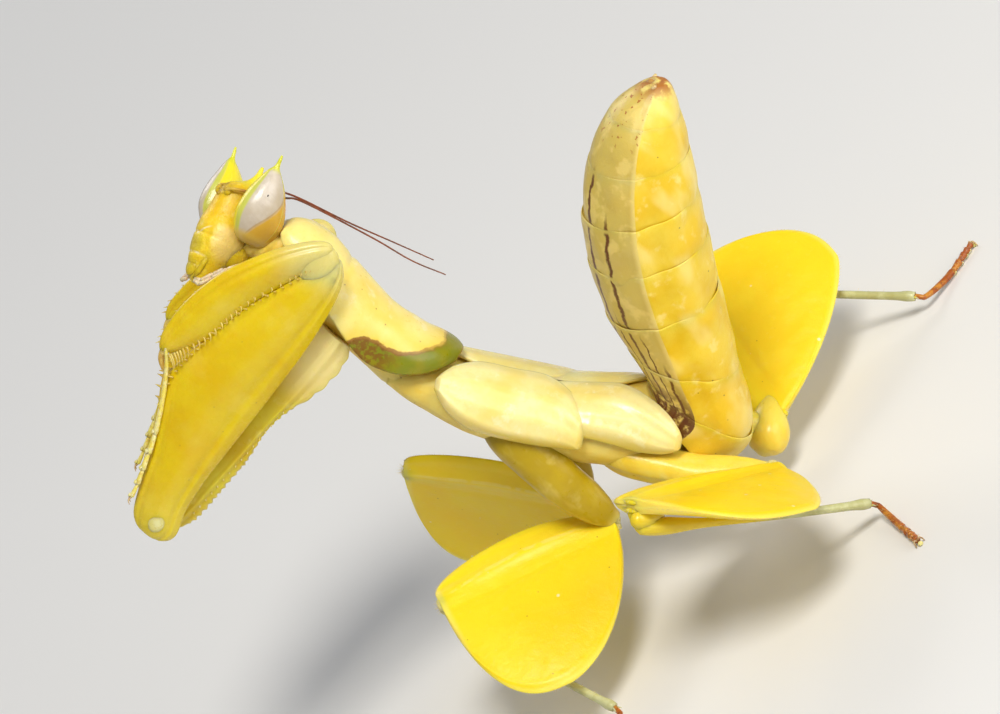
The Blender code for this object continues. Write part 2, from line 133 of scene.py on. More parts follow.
def rounded(angle, power):
    """Cosine and sine of a superellipse."""
    c, s = np.cos(angle), np.sin(angle)
    return np.sign(c) * np.abs(c) ** (2 / power), np.sign(s) * np.abs(s) ** (2 / power)


def lumps(points, scale, seed=0.0):
    """Smooth noise at each point, about -1 to 1."""
    flat = points.reshape(-1, 3) * scale + seed
    return np.array([noise.noise(p) for p in flat]).reshape(points.shape[:-1]) * 2


class Shape:
    """Gathers closed grids and spines into one mesh with a map named place."""

    def __init__(self):
        self.points, self.faces, self.places, self.kinds = [], [], [], []
        self.count = 0

    def grid(self, points, place=None, kind=0):
        """A closed skin: the rows of points are rings, and both ends are capped."""
        rows, cols = points.shape[:2]
        if place is None:
            v, u = np.meshgrid(np.linspace(0, 1, rows), np.arange(cols + 1) / cols, indexing="ij")
            place = np.stack([u, v], -1)
        elif place.shape[1] == cols:
            place = np.concatenate([place, place[:, :1]], 1)
        start = self.count
        self.points.append(points.reshape(-1, 3))
        self.count += rows * cols
        for i in range(rows - 1):
            for j in range(cols):
                k = (j + 1) % cols
                self.faces.append([start + r * cols + c for r, c in ((i, j), (i, k), (i + 1, k), (i + 1, j))])
                self.places += [place[i, j], place[i, j + 1], place[i + 1, j + 1], place[i + 1, j]]
                self.kinds.append(kind)
        for row, step in ((0, -1), (rows - 1, 1)):
            self.points.append(points[row].mean(0)[None])
            centre = self.count
            self.count += 1
            for j in range(cols):
                pair = (j, (j + 1) % cols)[::step]
                self.faces.append([start + row * cols + pair[0], start + row * cols + pair[1], centre])
                self.places += [place[row, j]] * 3
                self.kinds.append(kind)
        return self

    def limb(self, path, radii, sides=20, kind=0, flat=1.0):
        """A tube along a path; flat squeezes it across side."""
        path, radii = np.asarray(path, float), np.asarray(radii, float)
        ahead = np.gradient(path, axis=0)
        ahead /= np.linalg.norm(ahead, axis=1, keepdims=True)
        side = unit(np.cross(ahead[0], SLANT))
        across = side - (ahead @ side)[:, None] * ahead
        across /= np.linalg.norm(across, axis=1, keepdims=True)
        up = np.cross(ahead, across)
        angle = around(sides)
        ring = (
            np.cos(angle)[None, :, None] * across[:, None] + flat * np.sin(angle)[None, :, None] * up[:, None]
        )
        return self.grid(path[:, None] + ring * radii[:, None, None], kind=kind)

    def spine(self, base, tip, radius, bend=(0, 0, 0), kind=0, sides=6, blunt=0.12):
        """A thorn or hair from base to tip."""
        t = np.linspace(0, 1, 6)[:, None]
        base, tip, bend = (np.asarray(p, float) for p in (base, tip, bend))
        path = base + (tip - base) * t + bend * (t * (1 - t)) * 4
        return self.limb(path, radius * (1 - (1 - blunt) * t[:, 0] ** 1.1), sides, kind)

    def bead(self, centre, size, directions=None, kind=0, rows=12, sides=18, place=None):
        """An ellipsoid with its half sizes along three directions, painted as one place if one is given."""
        directions = np.eye(3) if directions is None else np.array(directions)
        a = np.linspace(0.04, math.pi - 0.04, rows)[:, None]
        b = around(sides)[None]
        local = np.stack([np.sin(a) * np.cos(b), np.sin(a) * np.sin(b), np.cos(a) + 0 * b], -1) * size
        if np.linalg.det(directions) > 0:
            local = local[::-1]
        place = None if place is None else np.broadcast_to(np.array(place, float), (rows, sides, 2))
        return self.grid(centre + local @ directions, place, kind)

    def make(self, name, materials, nodes=(), slot="body_yellow"):
        mesh = bpy.data.meshes.new(name)
        mesh.from_pydata((np.vstack(self.points) * MM).tolist(), [], self.faces)
        layer = mesh.uv_layers.new(name="place")
        layer.data.foreach_set("uv", np.array(self.places, np.float32).ravel())
        for mat in materials:
            mesh.materials.append(mat)
        mesh.polygons.foreach_set("material_index", self.kinds)
        mesh.polygons.foreach_set("use_smooth", [True] * len(mesh.polygons))
        shell = bmesh.new()
        shell.from_mesh(mesh)
        bmesh.ops.recalc_face_normals(shell, faces=shell.faces)
        shell.to_mesh(mesh)
        shell.free()
        piece = bpy.data.objects.new(name, mesh)
        bpy.context.scene.collection.objects.link(piece)
        if nodes:
            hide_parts(*nodes)
        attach(piece, "root")


# ---- materials -------------------------------------------------------------------------------------
class Field:
    """A value in a material's node tree; arithmetic with it adds the nodes that work it out."""

    def __init__(self, paint, socket):
        self.paint, self.socket = paint, socket

    def __add__(self, other):
        return self.paint.math("ADD", self, other)

    def __sub__(self, other):
        return self.paint.math("SUBTRACT", self, other)

    def __rsub__(self, other):
        return self.paint.math("SUBTRACT", other, self)

    def __mul__(self, other):
        return self.paint.math("MULTIPLY", self, other)

    def __lt__(self, other):
        return self.paint.math("LESS_THAN", self, other)

    def __abs__(self):
        return self.paint.math("ABSOLUTE", self)


class Paint:
    """A material put together from small node steps; texture places are in millimetres."""

    def __init__(self, name, roughness=0.4, subsurface=0.3, depth=0.5, tint=(1.0, 0.72, 0.2), coat=0.0,
            **more):
        self.mat = bpy.data.materials.new(name)
        self.mat.use_nodes = True
        self.tree = self.mat.node_tree
        self.shader = self.tree.nodes["Principled BSDF"]
        settings = {
            "Roughness": roughness, "Subsurface Weight": subsurface, "Subsurface Radius": tint,
            "Subsurface Scale": depth * MM, "Coat Weight": coat, "Coat Roughness": 0.2,
            "Specular IOR Level": 0.3,
        }
        for key, value in {**settings, **more}.items():
            self.shader.inputs[key].default_value = value
        spot = self.tree.nodes.new("ShaderNodeTexCoord").outputs["Object"]
        self.spot = self.step("ShaderNodeVectorMath", {0: spot, "Scale": 1 / MM},
            operation="SCALE").outputs[0]
        place = self.step("ShaderNodeUVMap", {}, uv_map="place").outputs[0]
        parts = self.step("ShaderNodeSeparateXYZ", {0: place})
        self.u, self.v = (Field(self, parts.outputs[k]) for k in range(2))
        self.colour = None
        self.height = None

    def step(self, kind, inputs, **settings):
        node = self.tree.nodes.new(kind)
        for key, value in settings.items():
            setattr(node, key, value)
        for key, value in inputs.items():
            value = value.socket if isinstance(value, Field) else value
            if isinstance(value, bpy.types.NodeSocket):
                self.tree.links.new(value, node.inputs[key])
            else:
                node.inputs[key].default_value = value
        return node

    def field(self, kind, inputs, **settings):
        return Field(self, self.step(kind, inputs, **settings).outputs[0])

    def math(self, operation, a, b=0.0):
        return self.field("ShaderNodeMath", {0: a, 1: b}, operation=operation)

    def noise(self, scale, detail=3.0, roughness=0.55, stretch=None):
        spot = self.spot
        if stretch:
            spot = self.step("ShaderNodeMapping", {0: spot, "Scale": stretch}).outputs[0]
        inputs = {"Vector": spot, "Scale": scale, "Detail": detail, "Roughness": roughness}
        return self.field("ShaderNodeTexNoise", inputs)

    def cells(self, scale):
        return self.field("ShaderNodeTexVoronoi", {"Vector": self.spot, "Scale": scale})

    def between(self, value, low, high):
        """0 below low, 1 above high, smooth between them."""
        inputs = {"Value": value, "From Min": low, "From Max": high}
        return self.field("ShaderNodeMapRange", inputs, interpolation_type="SMOOTHSTEP")

    def below(self, value, low, high):
        """1 below low, 0 above high, smooth between them."""
        return 1 - self.between(value, low, high)

    def patches(self, low, high, *texture):
        """Blots where a noise of this scale and detail lies above low."""
        return self.between(self.noise(*texture), low, high)

    def line(self, value, at, width):
        """1 on the line where value equals at, falling to 0 at this width from it."""
        return self.below(abs(value - at), width * 0.35, width)

    def base(self, colour):
        self.colour = (*colour, 1.0)

    def over(self, colour, mask, strength=1.0):
        """Lays a colour over the ones before it, where the mask is 1."""
        if strength != 1.0:
            mask = mask * strength
        inputs = {0: mask, 6: self.colour, 7: (*colour, 1.0)}
        self.colour = self.step("ShaderNodeMix", inputs, data_type="RGBA").outputs[2]

    def relief(self, value, height):
        value = value * height
        self.height = value if self.height is None else self.height + value

    def rough(self, value, low, high):
        inputs = {"Value": value, "To Min": low, "To Max": high}
        self.tree.links.new(self.step("ShaderNodeMapRange", inputs).outputs[0],
            self.shader.inputs["Roughness"])

    def done(self):
        if isinstance(self.colour, bpy.types.NodeSocket):
            self.tree.links.new(self.colour, self.shader.inputs["Base Color"])
        if self.height is not None:
            bump = self.step("ShaderNodeBump", {"Height": self.height, "Distance": MM, "Strength": 1.0})
            self.tree.links.new(bump.outputs[0], self.shader.inputs["Normal"])
        return self.mat


def cuticle(name, base, warm, pale, roughness=0.38, subsurface=0.35, grain=0.012, specks=0.5, mottle=0.45,
        **more):
    """Living cuticle: two hues drifting into each other, pale mottles, dust-like specks and a fine grain."""
    paint = Paint(name, roughness, subsurface, **more)
    paint.base(base)
    paint.over(warm, paint.patches(0.38, 0.68, 0.45), 0.85)
    paint.over(pale, paint.patches(0.56, 0.72, 1.3, 4), mottle)
    paint.over(warm, paint.patches(0.5, 0.75, 5.0, 2), 0.25)
    if specks:
        spot = paint.below(paint.cells(1.15), 0.035, 0.06)
        paint.over((0.16, 0.07, 0.02), spot, specks)
    paint.relief(paint.noise(14.0, 3), grain)
    paint.relief(paint.noise(2.2, 2), grain * 3)
    paint.rough(paint.noise(3.0), roughness - 0.1, roughness + 0.12)
    return paint


# ---- the frame's own axes --------------------------------------------------------------------------
LEFT = np.array([0.0, 1.0, 0.0])

# The front face of the metathorax is square to the thorax and stands this far behind its origin.
joint, FORWARD, _ = end_face("metathorax", middle("mesothorax"))
DORSAL = np.cross(FORWARD, LEFT)
ORIGIN = joint + FORWARD * 5.97 + DORSAL * 0.675
thorax = axes(ORIGIN, FORWARD, LEFT, DORSAL)

# The front end of the shield is square to the prothorax; its two lowest corners are its margins.
SHIELD_FRONT, SHIELD_MARGIN = 8.4, 1.55
rim, PRO_FORWARD, rim_points = end_face("pronotum", middle("head"))
reach = rim_points @ LEFT
PRO_LEFT = unit(rim_points[reach.argmax()] - rim_points[reach.argmin()])
PRO_DORSAL = np.cross(PRO_FORWARD, PRO_LEFT)
margins = (rim_points[reach.argmax()] + rim_points[reach.argmin()]) / 2
prothorax = axes(margins - PRO_FORWARD * SHIELD_FRONT - PRO_DORSAL * SHIELD_MARGIN, PRO_FORWARD, PRO_LEFT,
    PRO_DORSAL)

# Each eye's spike ends square to the head's height.
SPIKE_TIP_UP, SPIKE_TIP_OUT = 2.8, 0.1
tips = [min(flats(f"eye_{side}"), key=lambda face: np.ptp(face[2], axis=0).max()) for side in ("left",
    "right")]
HEAD_UP = tips[0][1]
HEAD_LEFT = unit(middle("eye_left") - middle("eye_right"))
HEAD_FACE = np.cross(HEAD_LEFT, HEAD_UP)
HEAD_AXES = (HEAD_LEFT, HEAD_UP, HEAD_FACE)
head_centre = (tips[0][0] + tips[1][0]) / 2 - HEAD_UP * SPIKE_TIP_UP - HEAD_FACE * SPIKE_TIP_OUT
head = axes(head_centre, HEAD_LEFT, HEAD_UP, HEAD_FACE)


# ---- materials of the trunk ------------------------------------------------------------------------
BUTTER, CREAM, IVORY = (0.93, 0.8, 0.3), (0.9, 0.74, 0.24), (0.93, 0.87, 0.58)


def body_cuticle():
    return cuticle("body_cuticle", (0.86, 0.68, 0.16), (0.82, 0.54, 0.04), BUTTER).done()


def pad_cuticle():
    """Wing pads: glossy ivory, yellower in patches and along the edges; the ivory upper side over a yellower
    lower edge is partly painted light.
    """
    paint = cuticle("wing_pad_cuticle", (0.9, 0.77, 0.34), (0.86, 0.66, 0.16), IVORY, 0.22, 0.45, 0.006, 0.25,
        coat=0.35)
    # yellower towards the lower edge, ivory above: partly the pad's own tone, partly painted light, the upper
    # side paler as if lit from above
    paint.over((0.85, 0.62, 0.08), paint.below(paint.u, 0.02, 0.3), 0.75)
    paint.over((0.84, 0.66, 0.16), paint.between(paint.v, 0.72, 1.0), 0.5)
    return paint.done()


def shield_cuticle():
    """The pronotum: cream, with an olive-green collar edged in brown; v is mm from the rear margin."""
    paint = cuticle("shield_cuticle", CREAM, (0.86, 0.62, 0.1), IVORY, 0.3, 0.4, 0.008, 0.5, coat=0.2)
    wander = (paint.noise(1.6) - 0.5) * 0.35
    away = paint.v + wander
    paint.over((0.8, 0.55, 0.04), paint.below(away, 0.8, 1.9), 0.7)
    collar = paint.below(away, 0.86, 0.96)
    paint.over((0.2, 0.22, 0.004), collar)
    paint.over((0.27, 0.24, 0.004), collar * paint.patches(0.4, 0.65, 1.1), 0.8)
    brown_end = paint.between(paint.u, 0.12, 0.26)
    edging = paint.line(away, 0.93, 0.12) * paint.between(paint.u, -0.1, 0.2)
    paint.over((0.26, 0.11, 0.015), edging, 0.9)
    paint.over((0.33, 0.15, 0.02), paint.line(paint.v, 0.0, 0.1), 0.75)
    streaks = paint.patches(0.4, 0.56, 4.5, 4) * brown_end
    paint.over((0.2, 0.075, 0.006), streaks * collar, 0.85)
    return paint.done()


def abdomen_cuticle():
    """Tergites greyish with brown stripes, sternites bright with pale blots; v counts segments."""
    paint = cuticle("abdomen_cuticle", (0.82, 0.6, 0.05), (0.78, 0.5, 0.01), (0.93, 0.8, 0.36), 0.33, 0.35,
        0.01, 0.6)
    blots = paint.patches(0.5, 0.7, 0.75, 2, 0.4, (1.0, 1.0, 0.5))
    paint.over((0.93, 0.78, 0.28), blots, 0.55)
    fold = abs(abs(paint.u - 0.25) - 0.25)
    tergite = abs(paint.u - 0.25) < 0.25
    paint.over((0.6, 0.46, 0.13), tergite, 0.72)
    paint.over((0.85, 0.66, 0.2), tergite * paint.patches(0.5, 0.62, 1.0, 3), 0.6)
    paint.over((0.88, 0.7, 0.22), paint.below(fold, 0.004, 0.018), 0.6)
    wobble = (paint.noise(1.1, 4) - 0.5) * 0.035
    side = abs(paint.u - 0.25) + wobble
    broken = paint.patches(0.24, 0.38, 2.4, 3)
    within = paint.math("FRACT", paint.v)
    inside = paint.between(within, 0.0, 0.05) * paint.below(within, 0.92, 0.99)
    for at, width, first, last in ((0.085, 0.009, 0.4, 6.2), (0.122, 0.004, 0.4, 3.4),
            (0.155, 0.008, 0.3, 5.4), (0.19, 0.004, 0.3, 3.0), (0.222, 0.007, 0.4, 2.4)):
        reach = paint.between(paint.v, first - 0.3, first) * paint.below(paint.v, last - 0.4, last)
        stripe = paint.line(side, at, width) * reach
        stripe = stripe * (broken * inside)
        paint.over((0.13, 0.035, 0.012), stripe, 0.95)
    low = paint.below(paint.v, 0.8, 2.2)
    veins = paint.patches(0.4, 0.54, 1.6, 5, 0.65)
    stain = low * veins * paint.below(side, 0.31, 0.45)
    paint.over((0.13, 0.035, 0.01), stain, 0.95)
    tip = paint.between(paint.v, 7.45, 7.85)
    paint.over((0.36, 0.1, 0.015), tip * paint.patches(0.38, 0.55, 1.8, 3), 0.9)
    flecks = paint.patches(0.62, 0.68, 5.0, 2, 0.5, (1.0, 1.0, 0.3)) * paint.between(paint.v, 6.3, 7.0)
    paint.over((0.4, 0.12, 0.02), flecks * tergite, 0.9)
    return paint.done()


BODY, PAD, SHIELD, ABDOMEN = body_cuticle(), pad_cuticle(), shield_cuticle(), abdomen_cuticle()


# ---- trunk -----------------------------------------------------------------------------------------
def build_thorax():
    """Meso- and metathorax: a keeled back, soft pleura and a sternum, each rising over the next."""
    # along the thorax: x and z of the back, x and z of the belly, half width
    front = [(1.6, 0.66, 1.6, -0.42, 1.02), (0.0, 0.87, 0.0, -1.17, 1.47), (-2.5, 0.88, -2.5, -1.92, 1.86),
        (-4.4, 0.9, -4.4, -2.12, 1.97), (-6.1, 0.83, -6.1, -2.12, 1.95)]
    rear = [(-5.5, 0.7, -5.5, -2.0, 1.85), (-6.1, 0.86, -6.3, -2.17, 1.98), (-7.8, 1.08, -9.0, -2.08, 2.03),
        (-8.6, 1.4, -11.0, -1.9, 1.9), (-9.3, 1.72, -12.72, -1.66, 1.7)]
    for name, rows in (("mesothorax", front), ("metathorax", rear)):
        table = curve(rows, 70)
        angle = around(96)[None]
        c, s = rounded(angle, 2.25)
        top, low = thorax(table[:, 0], 0.0, table[:, 1]), thorax(table[:, 2], 0.0, table[:, 3])
        half = table[:, 4:5]
        fit = 0.985 - 0.05 * bump(angle, 5.1, 0.12) - 0.05 * bump(angle, 4.32, 0.12)
        keel = 0.03 * bump(angle, math.pi / 2, 0.1)
        grid = (
            ((top + low) / 2)[:, None] + (top - low)[:, None] / 2 * ((s * (fit + keel))[..., None])
            + LEFT * (half * c * fit)[..., None]
        )
        grid = grid + (grid - grid.mean(1, keepdims=True)) * 0.02 * lumps(grid, 0.9)[..., None]
        slot = "shield_cream" if name == "mesothorax" else "body_yellow"
        Shape().grid(grid).make(f"{name}_plates", [BODY], [name], slot)


def build_abdomen():
    """Eight rings; each one's rear edge is a thin lip that lies over the next."""
    ends = []
    for i in range(1, 9):
        low, high = sorted(flats(f"abdomen_segment_{i}"), key=lambda face: face[0][2])[:2]
        ends.append(low)
        if i == 8:
            ends.append(high)
    rings = []
    for centre, normal, points in ends:
        toward = unit(np.cross(LEFT, normal))
        toward = toward if toward @ (1, 0, 1) > 0 else -toward
        across = points @ toward
        rings.append([*points[across.argmax()], *points[across.argmin()], np.ptp(points @ LEFT) / 2])
    middle_y = (cad_y("abdomen_segment_4")[0] + cad_y("abdomen_segment_4")[1]) / 2
    steps = 26
    table = curve(rings, 8 * steps + 1)
    angle = around(112)[None]
    # place within the segment and size there, from under the one before to the folded rear lip
    profile = [(-0.14, 0.97), (0.0, 0.985), (0.1, 0.993), (0.35, 1.0), (0.7, 1.003), (0.9, 1.005),
        (0.99, 1.004), (1.02, 0.998), (1.02, 0.985), (0.96, 0.975)]
    for i in range(8):
        last = i == 7
        outline = (
            [p for p in profile if not last or p[0] < 0.6] + ([(0.62, 0.985), (0.74, 0.92), (0.82, 0.78),
            (0.85, 0.5)] if last else [])
        )
        spots = curve(outline, 60)
        at = np.clip((i + spots[:, 0]) * steps, 0, 8 * steps)
        low = np.minimum(at.astype(int), 8 * steps - 1)
        mixed = table[low] + (at - low)[:, None] * (table[low + 1] - table[low])
        front, rear, half = mixed[:, :3], mixed[:, 3:6], mixed[:, 6]
        front[:, 1] = rear[:, 1] = middle_y
        centre, reach = (front + rear) / 2, (front - rear) / 2
        under = np.sin(angle) < 0
        power = np.where(under, 2.15, 1.9)
        c, s = np.cos(angle), np.sin(angle)
        r = (np.abs(c) ** power + np.abs(s) ** power) ** (-1 / power)
        ridge = 0.035 * bump(np.sin(angle), 0, 0.1) - 0.03 * bump(np.sin(angle), -0.28, 0.13)
        size = spots[:, 1:2] * (r + ridge) * 0.985
        belly = 1 + 0.1 * under + 0.02 * under * np.sin(math.pi * np.clip(spots[:, :1], 0, 1))
        grid = (
            centre[:, None] + reach[:, None] * (s * size * belly)[..., None]
            + LEFT * (half[:, None] * c * size)[..., None]
        )
        grid += (grid - centre[:, None]) * 0.018 * lumps(grid, 0.8, i)[..., None]
        v, u = np.meshgrid(i + np.clip(spots[:, 0], 0, 0.999), np.arange(113) / 112, indexing="ij")
        shape = Shape().grid(grid, np.stack([u, v], -1))
        if last:
            build_tail(shape, grid)
        shape.make(f"abdomen_{i + 1}", [ABDOMEN, BODY, TAIL], [f"abdomen_segment_{i + 1}"],
            "abdomen_tip_brown" if last else "body_yellow")


def cad_y(node):
    low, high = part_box(node)
    return low.y / MM, high.y / MM


def build_tail(shape, grid):
    """Two short pale cerci and the small plates round the abdomen's end."""
    centre = grid[-1].mean(0)
    out = unit(centre - grid[-20].mean(0))
    side, up = LEFT, unit(np.cross(out, LEFT))
    for sign in (1, -1):
        root = centre + side * 0.35 * sign - up * 0.1 - out * 0.5
        shape.limb([root, root + out * 0.25 + side * 0.1 * sign, root + out * 0.5 + side * 0.12 * sign],
            [0.16, 0.13, 0.06], 14, 2)
        shape.bead(centre + side * 0.2 * sign + up * 0.22 - out * 0.4, (0.22, 0.3, 0.3), (side, up, out), 2)
    shape.bead(centre - up * 0.2 - out * 0.36, (0.3, 0.24, 0.34), (side, up, out), 2)


def build_shield():
    """The saddle-shaped pronotum: a shell with a raised crest, a cross groove and a collar behind it."""
    rows = [
        (8.75, 2.0, 1.6, 0.85), (8.5, 2.35, 1.4, 1.12), (8.1, 2.58, 1.25, 1.36), (7.7, 2.69, 1.15, 1.52),
        (6.8, 2.7, 0.85, 1.85), (5.8, 2.48, 0.5, 2.1),
        (4.8, 2.24, 0.17, 2.2), (3.5, 1.96, -0.3, 2.15), (2.6, 1.85, -0.42, 2.15), (1.5, 1.9, -0.1, 2.2),
        (0.6, 2.1, 0.45, 2.0), (0.0, 2.18, 1.0, 1.55), (-0.35, 2.14, 1.35, 1.0), (-0.5, 2.08, 1.5, 0.7),
    ]
    table = curve(rows, 150)
    u, top, margin, half = columns(table)
    arc = np.linspace(0, math.pi, 81)[None]
    groove = 0.07 * bump(u, 5.6, 0.16) - 0.05 * bump(u, 1.9, 0.5)
    crest = 0.05 * bump(arc, math.pi / 2, 0.16) * np.sin(math.pi * np.clip((u + 0.5) / 8.9, 0, 1)) ** 0.5
    lift = 0.985 - groove / 2.2
    outer = prothorax(u, half * np.cos(arc) * 0.985,
        margin + (top * lift + crest * 0.5 - margin) * np.sin(arc) ** 0.92)
    outer = outer + 0.012 * lumps(outer, 1.1)[..., None] * PRO_DORSAL
    wall = 0.12 + 0.26 * np.sin(arc) ** 0.6
    inner = prothorax(u + 0 * arc, (half - wall * 0.9) * np.cos(arc),
        margin + (top * lift - margin - wall) * np.sin(arc) ** 0.92)
    grid = np.concatenate([outer, inner[:, ::-1]], 1)
    # how far each point is from the rear margin, measured over the shell
    line = prothorax(table[:, 0], table[:, 3], table[:, 2])[table[:, 0] < 2.9]
    line = np.concatenate([line, prothorax(table[:, 0], -table[:, 3], table[:, 2])[table[:, 0] < 2.9],
        outer[-1]])
    away = np.min(np.linalg.norm(grid[:, :, None] - line[None, None, ::3], axis=-1), axis=-1)
    place = np.stack([np.broadcast_to(u / 10, away.shape), away], -1)
    Shape().grid(grid, place).make("shield", [SHIELD], ["pronotum"], "shield_cream")


def build_prothorax():
    """The neck, prosternum and soft skin under the shield."""
    rows = [
        (2.0, 0.72, 1.45, -1.22, 1.22), (3.0, 1.22, 2.9, -1.03, 1.42), (4.5, 1.58, 4.5, -0.88, 1.52),
        (6.0, 1.8, 6.0, -0.5, 1.37),
        (7.3, 1.85, 7.3, 0.22, 0.98), (8.2, 1.8, 8.2, 0.3, 0.9), (8.9, 1.62, 8.9, -0.2, 0.88),
        (9.6, 1.5, 9.6, -0.2, 0.8),
    ]
    table = curve(rows, 90)
    c, s = rounded(around(72)[None], 2.1)
    top, low = prothorax(table[:, 0], 0.0, table[:, 1]), prothorax(table[:, 2], 0.0, table[:, 3])
    folds = 1 - 0.03 * np.sin(np.clip(table[:, 0] - 7.6, 0, 3) * 14)[:, None]
    grid = (
        ((top + low) / 2)[:, None] + (top - low)[:, None] / 2 * (s * folds)[..., None] * 0.97
        + PRO_LEFT * (table[:, 4:5] * c * folds)[..., None] * 0.97
    )
    # soft skin bridges the gap to the mesothorax
    angle = around(72)[None]
    c, s = np.cos(angle)[0], np.sin(angle)[0]
    inside = thorax(0.9 + 0 * c, 1.15 * c, 0.0 + 0.66 * s - 0.1)
    blend = np.linspace(0, 1, 18)[:-1, None, None]
    bridge = inside + (grid[0] - inside) * (blend * blend * (3 - 2 * blend))
    grid = np.concatenate([bridge, grid])
    Shape().grid(grid).make("neck", [BODY], ["prothorax"])


def build_pads():
    """The wing pads: four thin capes with low veins, their free edges drawn out to a rounded tip."""
    fore = [(-0.35, 52, 40), (-0.7, 64, 24), (-1.2, 76, 8), (-2.2, 88, -12), (-3.6, 88, -20), (-5.0, 88, -19),
        (-6.1, 70, -14), (-6.7, 48, -10), (-7.0, 30, -2)]
    hind = [(-4.8, 84, 40), (-5.4, 88, 22), (-6.3, 88, 15), (-7.3, 88, 12), (-8.3, 84, 9), (-9.4, 66, 6),
        (-10.3, 48, 8), (-10.8, 36, 12), (-11.1, 26, 18)]
    for name, rows, wide, high in (("fore_wing_pad", fore, 2.16, 1.42), ("hind_wing_pad", hind, 2.15, 1.52)):
        for side, sign in (("left", 1), ("right", -1)):
            table = curve(rows, 110)
            x, upper, lower = columns(table)
            s = np.linspace(0, 1, 61)[None]
            angle = np.radians(lower + (upper - lower) * s)
            tall = high + np.maximum(0, -7.0 - x) * 0.25
            t = np.linspace(0, 1, 110)[:, None]
            edge = np.minimum(np.minimum(s / 0.26, (1 - s) / 0.5 + 0.4),
                np.minimum(t / 0.1 + 0.2, (1 - t) / 0.14))
            full = np.clip(edge, 0, 1) ** 0.65
            veins = 0.02 * np.cos(s * math.tau * 4.5 + 1.2 * t) * full * np.sin(math.pi * t)
            lift = (0.1 + 0.48 * full + veins) * (1.0 if sign > 0 else 0.5)
            if name == "hind_wing_pad":
                lift = lift * np.clip((-x - 5.3) / 1.7, 0.12, 1)
            out = thorax(x + 0 * s, sign * (wide + lift) * np.cos(angle),
                -0.4 + (tall + lift) * np.sin(angle))
            thin = np.maximum(lift - 0.06 - 0.3 * full, 0.01)
            into = thorax(x + 0 * s, sign * (wide + thin) * np.cos(angle),
                -0.4 + (tall + thin) * np.sin(angle))
            grid = np.concatenate([out, into[:, ::-1]], 1)
            place = np.broadcast_to(np.stack([np.concatenate([s, s[:, ::-1]], 1) + 0 * t,
                t + 0 * np.concatenate([s, s], 1)], -1), (*grid.shape[:2], 2))
            if sign < 0:
                grid, place = grid[:, ::-1], place[:, ::-1]
            Shape().grid(grid, place).make(f"{name}_shell_{side}", [PAD], [f"{name}_{side}"], "shield_cream")


# ---- head ------------------------------------------------------------------------------------------
def head_cuticle():
    paint = cuticle("head_cuticle", (0.84, 0.6, 0.03), (0.8, 0.5, 0.006), BUTTER, 0.3, 0.35, 0.02, 0.3,
        coat=0.06)
    # u and v are millimetres to the left of and above the head's centre
    paint.over((0.7, 0.42, 0.0), paint.patches(0.5, 0.64, 1.5, 4), 0.45)
    paint.over((0.88, 0.7, 0.16), paint.patches(0.56, 0.66, 2.6, 4, 0.6), 0.4)
    brow = paint.between(paint.v, 0.25, 0.5) * paint.below(paint.v, 0.95, 1.15)
    paint.over((0.62, 0.42, 0.01), brow, 0.6)
    crown = brow * (paint.below(abs(paint.u), 0.25, 0.5))
    paint.over((0.34, 0.2, 0.01), crown * paint.patches(0.42, 0.58, 5.0, 3), 0.7)
    paint.over((0.85, 0.75, 0.03), paint.between(paint.v, 1.0, 1.3), 0.7)
    cheek = paint.between(abs(paint.u), 0.72, 1.0)
    low = paint.below(paint.v, -1.0, -0.6)
    paint.over((0.78, 0.6, 0.26), cheek * low, 0.55)
    middle_face = paint.below(abs(paint.u), 0.35, 0.75)
    traces = middle_face * paint.patches(0.38, 0.55, 3.0, 3)
    arms = paint.v - abs(paint.u) * 0.7
    for height, at in ((arms, -1.5), (paint.v, -2.3)):
        paint.over((0.88, 0.8, 0.5), paint.line(height, at, 0.06) * traces, 0.75)
    return paint.done()


def eye_surface():
    """Pearly facets in front and outside, green-yellow at the edges, amber behind; u turns round the eye."""
    paint = Paint("eye_surface", 0.16, 0.4, 0.7, (0.9, 0.8, 0.6), coat=0.5)
    paint.base((0.54, 0.46, 0.34))
    paint.over((0.64, 0.57, 0.48), paint.patches(0.35, 0.65, 1.2, 2), 0.7)
    paint.over((0.5, 0.42, 0.32), paint.patches(0.5, 0.62, 2.5, 3, 0.6, (1, 1, 0.4)), 0.4)
    turn = paint.u - 0.1
    behind = turn - 0.53 + paint.v * -0.28
    amber = paint.between(behind, -0.02, 0.1)
    paint.over((0.62, 0.38, 0.05), amber)
    paint.over((0.74, 0.36, 0.01), amber * paint.patches(0.4, 0.6, 1.0), 0.7)
    border = paint.v * -0.4 + 0.13
    outer_rear = paint.below(turn - border, -0.02, 0.012)
    outer_rear = outer_rear * (turn < 0.3)
    paint.over((0.7, 0.42, 0.04), outer_rear, 0.95)
    paint.over((0.42, 0.22, 0.03), paint.line(turn - border, 0.004, 0.01), 0.4)
    medial = paint.between(turn, 0.2, 0.24) * paint.below(turn, 0.62, 0.66)
    paint.over((0.8, 0.68, 0.02), medial)
    paint.over((0.55, 0.58, 0.02), paint.line(turn, 0.2, 0.035), 0.8)
    paint.over((0.55, 0.6, 0.03), paint.between(turn, 0.76, 0.84) * paint.between(paint.v, 0.55, 0.75), 0.8)
    paint.over((0.62, 0.62, 0.02), paint.between(paint.v, 0.78, 0.86), 0.95)
    paint.over((0.74, 0.52, 0.1), paint.below(paint.v, 0.05, 0.13), 0.9)
    paint.relief(paint.cells(26.0), 0.006)
    return paint.done()


def plain(name, colours, roughness=0.35, subsurface=0.35, grain=0.006, scale=2.5, **more):
    """Two or three hues that drift along a small limb."""
    paint = Paint(name, roughness, subsurface, **more)
    paint.base(colours[0])
    paint.over(colours[1], paint.patches(0.4, 0.62, scale), 0.8)
    if len(colours) > 2:
        paint.over(colours[2], paint.patches(0.52, 0.66, scale * 2.7, 4), 0.6)
    paint.relief(paint.noise(18.0), grain)
    paint.rough(paint.noise(4.0), roughness - 0.08, roughness + 0.12)
    return paint.done()


